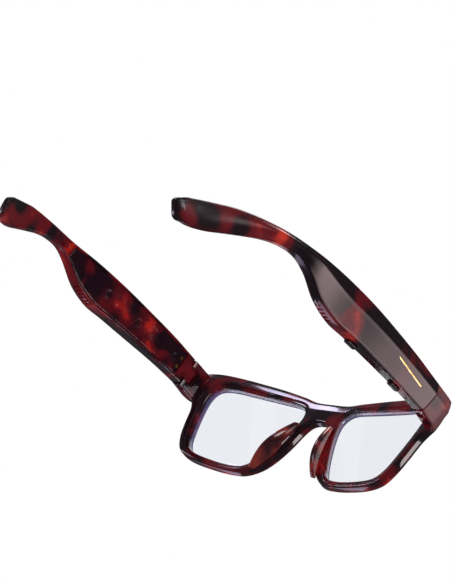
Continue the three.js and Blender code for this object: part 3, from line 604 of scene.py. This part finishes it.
# frost greys the colour where the satin mask is high; along the temple that mask also carries painted light
frost = ramp(tree, satin, 0.45, 1.0, 0.0, 0.8)
dye_with_painted_glow(tree, surface, blend_colour(tree, frost, pattern.outputs["Colour"], (0.2, 0.14, 0.145, 1)))
polish(tree, surface, spot, 0.12, 0.22, 0.05, blasted=satin)
TOP_EDGE = np.array([
    [22.0, 40.9], [37, 39.9], [54, 37.9], [70, 35.8], [80, 34.2], [92, 31.9], [104, 29.0], [112, 27.0],
    [120, 24.8], [128, 22.0], [132.1, 20.3], [136, 18.5], [142.2, 14.7], [147.0, 11.6], [149.4, 9.9],
    [150.2, 8.8]])
BOTTOM_EDGE = np.array([
    [22.0, 27.3], [37, 25.2], [54, 22.2], [70, 19.2], [80, 17.1], [91, 17.6], [102, 21.0], [109.5, 21.8],
    [116.5, 19.8], [122.5, 16.6], [128, 12.6], [133.4, 8.4], [138.4, 4.5], [142.4, 2.2], [144.8, 1.4],
    [146.0, 1.3]])
TIP, TIP_IN = np.array([150.3, 3.9]), 1.8
HOOK_START, HOOK_LENGTH, HOOK_WAIST, HOOK_TAPER = 100, 45, 0.6, 2.0
BEND, BEND_START = 0.0068, 98
SWELL, SWELL_START, SWELL_LENGTH = 1.2, 22, 90
COVER_START, COVER_END, COVER_THICK, COVER_INSET = 26.6, 103.4, 1.3, 1.5
CAVITY_START, CAVITY_END, CAVITY_OUTER, CAVITY_INSET = 28, 100, 70.8, 2.9
UNDER_X = 67.9  # the middle line of the underside, where its ports and buttons stand
PORT_Y, PORT_RADIUS = 29.4, 0.5
SLOTS, SLOT_START, SLOT_STEP, SLOT_LENGTH, SLOT_WIDTH = 6, 81.5, 1.9, 3.2, 0.9
BUTTONS, BUTTON_HOLE = (("function", 66.5), ("volume", 38.0)), (7.0, 3.0)
POCKET_MOUTH, POCKET_END, POCKET_DEEP = 104.4, 110.8, 1.5
POCKETS = (((0.2, 0.47), (0.22, 0.42)), ((0.53, 0.86), (0.5, 0.82)))  # low and high, as shares of the height


def flowing(points, share):
    """Smooth open line through the points at a share of its run, slower where they lie close."""
    last = len(points) - 1
    i = min(int(last * share), last - 1)
    w = last * share - i
    b, c = points[i], points[i + 1]
    a = points[i - 1] if i > 0 else 2 * b - c
    d = points[i + 2] if i + 2 <= last else 2 * c - b
    ab, bc, cd = (math.sqrt(np.linalg.norm(q - p)) for p, q in ((a, b), (b, c), (c, d)))
    go = ((b - a) / ab - (c - a) / (ab + bc) + (c - b) / bc) * bc
    come = ((c - b) / bc - (d - b) / (bc + cd) + (d - c) / cd) * bc
    return b + go * w + (3 * (c - b) - 2 * go - come) * w**2 + (2 * (b - c) + go + come) * w**3


def share_at(y):
    low, high = 0.0, 1.0
    for _ in range(30):
        share = (low + high) / 2
        if flowing(TOP_EDGE, share)[0] < y:
            low = share
        else:
            high = share
    return low


def top_at(y):
    return flowing(TOP_EDGE, share_at(y))[1]


def bottom_at(y):
    return flowing(BOTTOM_EDGE, share_at(y))[1]


def bend(y):
    return BEND * max(0, y - BEND_START)**2


def temple_ring(share):
    top, bottom = flowing(TOP_EDGE, share), flowing(BOTTOM_EDGE, share)
    centre, half_height = (top + bottom) / 2, np.linalg.norm(top - bottom) / 2
    up_way = (top - bottom) / (2 * half_height)
    to_tip = min(1, max(0, (centre[0] - HOOK_START) / HOOK_LENGTH))
    width = OUTER_X - INNER_X - HOOK_WAIST * math.sin(math.pi * to_tip) - HOOK_TAPER * to_tip**2
    width += SWELL * math.sin(math.pi * min(1, (centre[0] - SWELL_START) / SWELL_LENGTH))**2
    ridge = (RIDGE_X - OUTER_X) * (1 - 0.6 * to_tip)
    ring = []
    for over, up in section(half_height, width, ridge, crowned=min(1, 2.2 * to_tip)):
        y, z = centre + up_way * up
        bow = SEAM_BOW * max(0, 1 - share / 0.06) * (1 - (up / half_height)**2)
        ring.append((INNER_X + over - bend(y), y - bow, z))
    return ring


def inset_body(start, end, x0, x1, inset):
    """A flat body that follows the temple's outline, inset from its top and bottom edges."""
    rings = []
    for y in np.linspace(start, end, 60):
        low, high, shift = bottom_at(y) + inset, top_at(y) - inset, bend(y)
        rings.append([(x - shift, y, z) for x, z in ((x0, low), (x0, high), (x1, high), (x1, low))])
    return loft(rings)


def across_rod(x0, x1, y, z, radius):
    turn = np.linspace(0, 2 * np.pi, 48, endpoint=False)
    ring = np.stack([0 * turn, y + radius * np.cos(turn), z + radius * np.sin(turn)], 1)
    return loft([ring + [x0, 0, 0], ring + [x1, 0, 0]])


def tilt_at(y):
    return math.atan2(bottom_at(y + 1) - bottom_at(y - 1), 2)


def on_underside(body, y, lift=0):
    """Stands a body drawn along Z square on the middle of the temple's underside."""
    points, faces = body
    points = points + [0, 0, lift]
    c, s = math.cos(tilt_at(y)), math.sin(tilt_at(y))
    x, along, up = points.T
    return np.stack([x, along * c - up * s, along * s + up * c], 1) + [UNDER_X, y, bottom_at(y)], faces


def stadium(length, width, z0, z1):
    """A long hole or pillow with round ends."""
    ring = []
    for end, start in ((1, 0), (-1, math.pi)):
        for k in range(13):
            angle = start + math.pi * k / 12
            ring.append((width / 2 * math.cos(angle), end * (length - width) / 2 + width / 2 * math.sin(angle)))
    return loft([[(x, y, z) for x, y in ring] for z in (z0, z1)])


# dark and red patches, each (x, y, z, radius, strength); the two by the pockets are amber painted into the
# recesses as a glow, the rest belong to the marbled stock
PAINTED_POCKET_GLOW = [(67, 106, 27, 1.7, 0.35), (67, 105.6, 23.8, 1.6, 0.35)]
PATCHES = {
    "left": PAINTED_POCKET_GLOW + [
        (54, 141, 10, 4.5, -0.3), (62, 129.5, 15, 3.5, -0.25), (66, 120, 19, 3.5, -0.25), (52, 147, 4, 4, 0.25),
        (58, 134.5, 12, 4, 0.2), (64, 125, 18, 3, 0.2), (68, 115.5, 22, 4, 0.2), (50, 152, 6, 5, -0.4),
        (70, 100, 22, 6, 0.1)],
    "right": PAINTED_POCKET_GLOW + [
        (57, 141.5, 9, 4.5, -0.35), (63, 132.5, 14, 4, -0.3), (54, 147, 5, 3.5, 0.25), (60, 137, 12, 3.5, 0.3),
        (66, 127, 17, 4.5, 0.2), (70, 118, 22, 4, 0.25), (70, 109, 25, 6, -0.3), (50, 153, 5, 4, -0.4),
        (72, 77, 25, 4, 0.12), (72, 90, 26, 10, -0.5), (72, 63, 27, 8, -0.5), (72, 42, 29, 5, 0.1),
        (72, 52, 30, 5, -0.35), (72, 30, 33, 6, -0.1), (68, 86, 17, 6, 0.3)],
}
for word, side in (("left", LEFT), ("right", RIGHT)):
    rings = [temple_ring(share) for share in np.linspace(0, 1, 190)]
    last = np.array(rings[-1])
    centre = last.mean(0)
    tip = np.array([INNER_X + TIP_IN - bend(TIP[0]), TIP[0], TIP[1]])
    for share in (0.15, 0.3, 0.45, 0.6, 0.72, 0.82, 0.9, 0.96, 0.99):
        shrink = (1 - share**2.5)**0.4
        rings.append((last - centre) * shrink + centre + (tip - centre) * share)
    shell = new_piece("temple_" + word, *loft(rings), side)
    tools = [
        box_body(INNER_X - 4, PIN_X + EAR, 15, SEAM_Y + 0.7, 15, 50),
        inset_body(COVER_START - GAP, COVER_END + GAP, INNER_X - 3, INNER_X + COVER_THICK + GAP,
                   COVER_INSET - GAP),
        inset_body(CAVITY_START, CAVITY_END, INNER_X - 3.1, CAVITY_OUTER, CAVITY_INSET),
        box_body(INNER_X - 3.2, INNER_X + 2.5, 26.8, 29, 30, 37),  # room behind the charge pins
        on_underside(rod(0, 0, -2, 5, PORT_RADIUS, 24), PORT_Y),
    ]
    for i in range(SLOTS):
        points, faces = stadium(SLOT_LENGTH, SLOT_WIDTH, -2, 4)
        tools.append(on_underside((points[:, [1, 0, 2]], faces), SLOT_START + SLOT_STEP * i))
    for mouth, narrow in POCKETS:
        rings = []
        for y, (low, high) in ((POCKET_MOUTH, mouth), (POCKET_END, narrow)):
            face, base, tall = INNER_X - bend(y), bottom_at(y), top_at(y) - bottom_at(y)
            deep = face + POCKET_DEEP
            rings.append([(face - 1, y, base + tall * low), (deep, y, base + tall * low),
                          (deep, y, base + tall * high), (face - 1, y, base + tall * high)])
        tools.append(loft(rings))
    if side == RIGHT:
        for _, y in BUTTONS:
            tools.append(on_underside(stadium(*BUTTON_HOLE, -3, 6), y))
    for tool in tools:
        shape_with(shell, new_piece("tool", *tool, side))
    plate = box_body(PIN_X - TONGUE_HALF, PIN_X + TONGUE_HALF, PIN_Y, 25, TONGUE_LOW, TONGUE_HIGH)
    tongue = new_piece("tool", *plate, side)
    knuckle = rod(PIN_X, PIN_Y, TONGUE_LOW, TONGUE_HIGH, TONGUE_ROUND, 64)
    shape_with(tongue, new_piece("tool", *knuckle, side), "UNION")
    shape_with(shell, tongue, "UNION")
    shape_with(shell, new_piece("tool", *rod(PIN_X, PIN_Y, 20, 45, BUSH_RADIUS + GAP), side))
    polished(shell)
    at, turn = points_of(shell, side)
    straight_x = at[:, 0] + np.array([bend(y) for y in at[:, 1]])
    faces_out = np.clip((turn[:, 0] - 0.2) / 0.5, 0, 1) * (straight_x > 68)
    lower_facet = np.clip((0.14 - turn[:, 2]) / 0.12, 0.3, 1)
    # the satin amount along the temple is partly the blasted finish and partly painted light: greyer near the
    # hinge and at y 94, darkest near y 78
    blasted = np.interp(at[:, 1], [22, 34, 46, 56, 66, 78, 86, 94, 100, 112],
                        [1, 0.93, 0.8, 0.74, 0.6, 0.56, 0.7, 0.97, 0.8, 0])
    # hair and skin rub the hook's outer side and its tip a little dull
    worn_tip = 0.45 * np.clip((at[:, 1] - 144.5) / 1.5, 0, 1)
    worn_hook = 0.5 * np.clip((at[:, 1] - 106) / 6, 0, 1) * np.clip((turn[:, 0] - 0.2) / 0.5, 0, 1)
    note(shell, "satin", np.maximum(faces_out * lower_facet * blasted, np.maximum(worn_tip, worn_hook)))
    note(shell, "amber", blots(at, PATCHES[word]))
    shell.data.materials.clear()
    shell.data.materials.append(shell_acetate)
    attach(shell, "temple_" + word)
    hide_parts("temple_shell_" + word)

# ---- gold bar ----
# A plain bar of gold foil on the outer face of the right temple, near the seam.
# It is hot-stamped, so its ends are round and it stands hardly proud of the acetate.
BAR_START, BAR_LENGTH, BAR_Z, BAR_FALL = 29.2, 18.6, 32.4, 1.2
BAR_HALF, FOIL = 0.55, 0.06
foil, tree, surface, spot = finish_of("gold foil", Metallic=1)
creases = wire(tree, "ShaderNodeTexNoise", Vector=spot, Scale=900.0, Detail=3.0)
shade = blend_colour(tree, creases.outputs["Fac"], (0.72, 0.5, 0.2, 1), (0.95, 0.78, 0.42, 1))
tree.links.new(shade, surface.inputs["Base Color"])
polish(tree, surface, spot, 0.28, 0.42, 0.2)


def outer_face(y, z):
    """x of the outer face of the straight part of a temple."""
    low, high = bottom_at(y), top_at(y)
    up = (z - (low + high) / 2) / ((high - low) / 2)
    swell = SWELL * math.sin(math.pi * (y - SWELL_START) / SWELL_LENGTH)**2
    lift = float(np.interp(up, [-0.84, *RIDGE_AT[:2]], [0, *RIDGE_LIFT[:2]]))
    return OUTER_X + swell + (RIDGE_X - OUTER_X) * lift


rings = []
for share in np.linspace(0, 1, 60):
    y, z = BAR_START + BAR_LENGTH * share, BAR_Z - BAR_FALL * share
    wide = BAR_HALF * math.sqrt(max(0.02, 1 - abs(2 * share - 1)**24))
    rings.append([(outer_face(y, z + w * wide) + lift, y, z + w * wide) for w, lift in (
        (-1, -0.1), (-1, FOIL / 2), (-0.85, FOIL), (0.85, FOIL), (1, FOIL / 2), (1, -0.1))])
bar = polished(new_piece("gold_bar", *loft(rings), RIGHT), 50)
bar.data.materials.append(foil)
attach(bar, "temple_right")

# ---- inner covers ----
# A thin translucent lid that snaps into the inner side of each temple on three moulded posts.
# Its posts leave round sink marks in the polished face, and the electronics show through it as dark shapes.
POSTS, POST_RADIUS, POST_BORE, POST_RING = ((32, 32.7), (57, 29.0), (77.6, 25.8)), 1.7, 0.9, 1.8
RINGS = ((48.4, 31.6, 2.6), (48.4, 31.6, 1.2), (66.6, 29.8, 2.2), (71.6, 28.0, 2.2))  # y, z and radius
GROOVE_HALF, GROOVE_DEEP = 0.84, 0.3
CHARGE_Y, CHARGE_Z, CHARGE_RADIUS = 28.2, (31.4, 35.6), 0.9
EDGE = ((0, 0.35), (0.06, 0.17), (0.17, 0.06), (0.35, 0))  # the rolled edge, as steps in and down
# the emission strength here sets this piece's painted glow
cover_red, tree, surface, spot = finish_of("translucent cover", Emission_Strength=0.5)
pattern = use_group(tree, marbling, Position=spot, Patch_Size=0.008, Placed=kept(tree, "amber"),
                    Dark=(0.008, 0.001, 0.004, 1), Red=(0.075, 0.002, 0.006, 1), Amber=(0.42, 0.014, 0.009, 1))
dye_with_painted_glow(tree, surface, pattern.outputs["Colour"])
tree.links.new(ramp(tree, pattern.outputs["Haze"], 0.35, 0.7, 0.92, 0.62), surface.inputs["Alpha"])
polish(tree, surface, spot, 0.07, 0.16, 0.08, 0.00003)


def ring_groove(y, z, radius):
    """A tool that cuts a V-shaped ring into the inner face of a cover."""
    points, faces = [], []
    for k in range(64):
        angle = 2 * math.pi * k / 64
        for x, r in ((INNER_X - 0.3, radius + GROOVE_HALF), (INNER_X + GROOVE_DEEP, radius),
                     (INNER_X - 0.3, radius - GROOVE_HALF)):
            points.append((x, y + r * math.cos(angle), z + r * math.sin(angle)))
        for c in range(3):
            a, b = 3 * k, 3 * ((k + 1) % 64)
            faces.append((a + c, a + (c + 1) % 3, b + (c + 1) % 3, b + c))
    return points, faces


for word, side in (("left", LEFT), ("right", RIGHT)):
    rings = []
    ends, soft = np.array([step for step, _ in EDGE]), EDGE[-1][0]
    for y in np.concatenate([COVER_START + ends, np.linspace(28, 102, 90), COVER_END - ends[::-1]]):
        face = INNER_X - bend(y) + float(rounding(min(y - COVER_START, COVER_END - y), soft))
        back = INNER_X - bend(y) + COVER_THICK
        low, high = bottom_at(y) + COVER_INSET, top_at(y) - COVER_INSET
        ring = [(face + over, y, low + up) for up, over in EDGE[:3]]
        ring += [(face, y, z) for z in np.linspace(low + soft, high - soft, 14)]
        ring += [(face + over, y, high - up) for up, over in EDGE[2::-1]]
        rings.append(ring + [(back, y, high), (back, y, low)])
    cover = new_piece("cover_" + word, *loft(rings), side)
    for y, z in POSTS:
        post = across_rod(INNER_X + 0.5, CAVITY_OUTER - GAP, y, z, POST_RADIUS)
        bore = across_rod(INNER_X + COVER_THICK, CAVITY_OUTER + 1, y, z, POST_BORE)
        shape_with(cover, new_piece("tool", *post, side), "UNION")
        shape_with(cover, new_piece("tool", *bore, side))
        shape_with(cover, new_piece("tool", *ring_groove(y, z, POST_RING), side))
    for y, z, radius in RINGS:
        shape_with(cover, new_piece("tool", *ring_groove(y, z, radius), side))
    for z in CHARGE_Z:
        hole = across_rod(INNER_X - 1, INNER_X + 4, CHARGE_Y, z, CHARGE_RADIUS + GAP)
        shape_with(cover, new_piece("tool", *hole, side))
    polished(cover, 38)
    at, _ = points_of(cover, side)
    note(cover, "amber", blots(at, [
        (67, 71, 25, 5, 0.3), (67, 63, 27, 4, 0.22), (67, 53, 31, 6, 0.3), (67, 46, 27, 4, 0.25),
        (67, 38, 29, 3, 0.2), (67, 90, 26, 4, 0.12), (67, 43, 30.8, 3.2, -0.5), (67, 68.8, 22.8, 3, -0.4),
        (67, 100, 25, 8, -0.4), (67, 84, 29, 6, -0.35), (67, 62, 33, 5, -0.25), (67, 36, 36, 5, -0.3),
        (67, 28, 33, 4, -0.3), (67, 31.5, 33.3, 2.6, -0.25), (67, 57, 29, 1.6, -0.25),
        (67, 77.6, 25.8, 1.6, -0.25)]))
    cover.data.materials.clear()
    cover.data.materials.append(cover_red)
    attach(cover, "temple_" + word)
    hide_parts("temple_cover_" + word)

# ---- push buttons ----
# Two buttons stand out under the right temple, each a moulded pillow of black plastic that the fingertip finds.
# They drop in from the cavity, are kept in by the edge of their hole and rest on their tact switches.
BUTTON_HALF, BUTTON_SPAN, BUTTON_LIFT = 1.2, 2.0, -1.1
PILLOW = ((0.0, 0.62), (0.03, 0.42), (0.09, 0.27), (0.19, 0.13), (0.32, 0.04), (0.48, 0), (1.75, 0),
          (1.9, 0.05), (1.95, 0.2))  # height from the crown, and how far the side is drawn in
button_black, tree, surface, spot = finish_of("button moulding")
speckle = wire(tree, "ShaderNodeTexNoise", Vector=spot, Scale=1500.0, Detail=3.0)
shade = blend_colour(tree, speckle.outputs["Fac"], (0.012, 0.004, 0.006, 1), (0.03, 0.01, 0.013, 1))
tree.links.new(shade, surface.inputs["Base Color"])
polish(tree, surface, spot, 0.2, 0.34, 0.15, 0.00003)
for name, y in BUTTONS:
    rings = []
    for z, less in PILLOW:
        ring, round_end = [], BUTTON_HALF - less
        for end, start in ((1, 0), (-1, math.pi)):
            for k in range(19):
                angle = start + math.pi * k / 18
                ring.append((round_end * math.cos(angle), end * BUTTON_SPAN + round_end * math.sin(angle), z))
        rings.append(ring)
    button = new_piece(name + "_pillow", *on_underside(loft(rings), y, BUTTON_LIFT), RIGHT)
    polished(button, 50)
    button.data.materials.append(button_black)
    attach(button, name + "_button")
    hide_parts(name + "_button")

# ---- hinges ----
# A slotted screw of turned steel stands in each hinge, put in from below and threaded into the upper ear.
# The temple's tongue turns round it on a pressed-in bush.
steel, tree, surface, spot = finish_of("turned steel", Metallic=1)
stretched = wire(tree, "ShaderNodeMapping", Vector=spot, Scale=(1, 1, 14))
lathe_marks = wire(tree, "ShaderNodeTexNoise", Vector=stretched.outputs[0], Scale=700.0, Detail=3.0)
shade = blend_colour(tree, lathe_marks.outputs["Fac"], (0.3, 0.3, 0.32, 1), (0.62, 0.62, 0.64, 1))
tree.links.new(shade, surface.inputs["Base Color"])
polish(tree, surface, spot, 0.22, 0.4, 0.2)

# the screws repeat, so one tree draws the shaft and a head with a cut slot, and stands a copy at each hinge
SCREW_TOP, SCREW_FOOT, HEAD_HEIGHT = 39.5, 28.1, 0.9


def node_tree_of(name, sockets):
    """A Geometry Nodes tree with a mesh coming out and the named sizes going in."""
    made = bpy.data.node_groups.new(name, "GeometryNodeTree")
    for label, value in sockets:
        socket(made, label, "Float", value=value)
    socket(made, "Material", "Material")
    socket(made, "Geometry", "Geometry", "OUTPUT")
    return made, made.nodes.new("NodeGroupInput"), made.nodes.new("NodeGroupOutput")


def grown(name, group, material, **sizes):
    """Runs a Geometry Nodes tree with its sizes set, and keeps the result as a plain mesh."""
    holder = bpy.data.objects.new(name, bpy.data.meshes.new(name))
    scene.collection.objects.link(holder)
    step = holder.modifiers.new("grow", "NODES")
    step.node_group = group
    for item in group.interface.items_tree:
        if item.in_out == "INPUT" and item.name in sizes:
            step[item.identifier] = sizes[item.name]
        if item.in_out == "INPUT" and item.name == "Material":
            step[item.identifier] = material
    settled = bpy.data.meshes.new_from_object(holder.evaluated_get(bpy.context.evaluated_depsgraph_get()))
    holder.modifiers.clear()
    holder.data = settled
    settled.name = name
    return holder


def cylinder_in(tree, radius, depth, x, y, z):
    """A capped cylinder whose middle stands at x, y, z."""
    body = wire(tree, "GeometryNodeMeshCylinder", Vertices=40, Radius=radius, Depth=depth)
    place = wire(tree, "ShaderNodeCombineXYZ", X=x, Y=y, Z=z)
    return wire(tree, "GeometryNodeTransform", Geometry=body.outputs["Mesh"], Translation=place.outputs[0])


screw_tree, start, end = node_tree_of("hinge screw", [
    ("Radius", 0.0008), ("Head", 0.0014), ("Head Height", 0.0009), ("Slot Length", 0.004),
    ("Slot Width", 0.0004), ("Slot Height", 0.0008), ("Foot", 0.0), ("Top", 0.01), ("X", 0.0), ("Y", 0.0)])
read = start.outputs
tall = reckon(screw_tree, read["Top"], read["Foot"], "SUBTRACT")
centre = reckon(screw_tree, reckon(screw_tree, read["Top"], read["Foot"]), 0.5, "MULTIPLY")
shaft = cylinder_in(screw_tree, read["Radius"], tall, read["X"], read["Y"], centre)
head = wire(screw_tree, "GeometryNodeMeshCone", Vertices=48, Depth=read["Head Height"])
screw_tree.links.new(reckon(screw_tree, read["Head"], 0.9, "MULTIPLY"), head.inputs["Radius Bottom"])
screw_tree.links.new(read["Head"], head.inputs["Radius Top"])
head_place = wire(screw_tree, "ShaderNodeCombineXYZ", X=read["X"], Y=read["Y"], Z=read["Foot"])
head_stood = wire(screw_tree, "GeometryNodeTransform", Geometry=head.outputs["Mesh"],
                  Translation=head_place.outputs[0])
cut_size = wire(screw_tree, "ShaderNodeCombineXYZ", X=read["Slot Length"], Y=read["Slot Width"],
                Z=read["Slot Height"])
cut = wire(screw_tree, "GeometryNodeMeshCube", Size=cut_size.outputs[0])
cut_stood = wire(screw_tree, "GeometryNodeTransform", Geometry=cut.outputs["Mesh"],
                 Translation=head_place.outputs[0], Rotation=(0, 0, 0.6))
whole_screw = wire(screw_tree, "GeometryNodeMeshBoolean", {"operation": "UNION", "solver": "EXACT"})
screw_tree.links.new(shaft.outputs[0], whole_screw.inputs["Mesh 2"])
screw_tree.links.new(head_stood.outputs[0], whole_screw.inputs["Mesh 2"])
slotted = wire(screw_tree, "GeometryNodeMeshBoolean", {"operation": "DIFFERENCE", "solver": "EXACT"})
screw_tree.links.new(whole_screw.outputs["Mesh"], slotted.inputs["Mesh 1"])
screw_tree.links.new(cut_stood.outputs[0], slotted.inputs["Mesh 2"])
real = wire(screw_tree, "GeometryNodeRealizeInstances", Geometry=slotted.outputs["Mesh"])
dressed = wire(screw_tree, "GeometryNodeSetMaterial", Geometry=real.outputs[0])
screw_tree.links.new(read["Material"], dressed.inputs["Material"])
screw_tree.links.new(dressed.outputs[0], end.inputs["Geometry"])
for word, side in (("left", LEFT), ("right", RIGHT)):
    foot, top = in_place([(PIN_X, PIN_Y, SCREW_FOOT), (PIN_X, PIN_Y, SCREW_TOP)], side)
    screw = grown("slotted_screw_" + word, screw_tree, steel, **{
        "Radius": SCREW_RADIUS * MM, "Head": HEAD_RADIUS * MM, "Head Height": HEAD_HEIGHT * MM,
        "Foot": float(foot[2]), "Top": float(top[2]), "X": float(foot[0]), "Y": float(foot[1])})
    polished(screw, 40)
    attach(screw, "front")
    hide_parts("hinge_screw_" + word)

# ---- parts inside the temples ----
# Each temple holds a pouch cell, a green board with chips, a ribbon cable, a sprung speaker, a microphone
# and two gold charge pins. They are bought parts, pressed or glued in before the cover snaps on.
BOUGHT = {  # two shades, the grain's scale, metallic, roughness smooth and handled, and bump
    "battery": ("pouch foil", (0.2, 0.2, 0.21), (0.42, 0.42, 0.43), 500.0, 0.8, 0.3, 0.5, 0.5),
    "circuit_board": ("solder mask", (0.004, 0.03, 0.014), (0.02, 0.09, 0.04), 1400.0, 0.0, 0.25, 0.45, 0.3),
    "ribbon_cable": ("amber film", (0.22, 0.07, 0.01), (0.5, 0.2, 0.03), 900.0, 0.0, 0.2, 0.35, 0.2),
    "speaker_frame": ("speaker moulding", (0.008, 0.008, 0.009), (0.03, 0.03, 0.032), 2200.0, 0.0, 0.4, 0.6,
                      0.4),
    "speaker_magnet": ("nickel plate", (0.35, 0.34, 0.32), (0.6, 0.59, 0.56), 600.0, 1.0, 0.2, 0.4, 0.2),
    "speaker_mesh": ("black cloth mesh", (0.004, 0.004, 0.004), (0.05, 0.05, 0.05), 5000.0, 0.0, 0.6, 0.8, 0.8),
    "microphone": ("microphone can", (0.28, 0.27, 0.25), (0.5, 0.49, 0.46), 900.0, 1.0, 0.3, 0.5, 0.2),
    "charge_pin": ("gold plate", (0.24, 0.12, 0.03), (0.5, 0.28, 0.08), 1200.0, 1.0, 0.22, 0.4, 0.2),
    "hinge_bush": ("bronze bush", (0.16, 0.08, 0.03), (0.34, 0.19, 0.08), 900.0, 1.0, 0.3, 0.5, 0.3),
    "function_switch": ("switch shell", (0.3, 0.3, 0.3), (0.5, 0.5, 0.5), 900.0, 1.0, 0.3, 0.5, 0.2),
}
finishes = {}
for kind, (name, first, second, scale, metallic, smooth, handled, bump) in BOUGHT.items():
    finishes[kind], tree, surface, spot = finish_of(name, Metallic=metallic)
    grain = wire(tree, "ShaderNodeTexNoise", Vector=spot, Scale=scale, Detail=4.0, Distortion=0.6)
    shade = blend_colour(tree, grain.outputs["Fac"], (*first, 1), (*second, 1))
    tree.links.new(shade, surface.inputs["Base Color"])
    polish(tree, surface, spot, smooth, handled, bump, 0.00003)
finishes["volume_switch"] = finishes["function_switch"]
for node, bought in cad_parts.items():
    for kind, finish in finishes.items():
        if node.startswith(kind):
            bought.data.materials.clear()
            bought.data.materials.append(finish)

low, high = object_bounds()
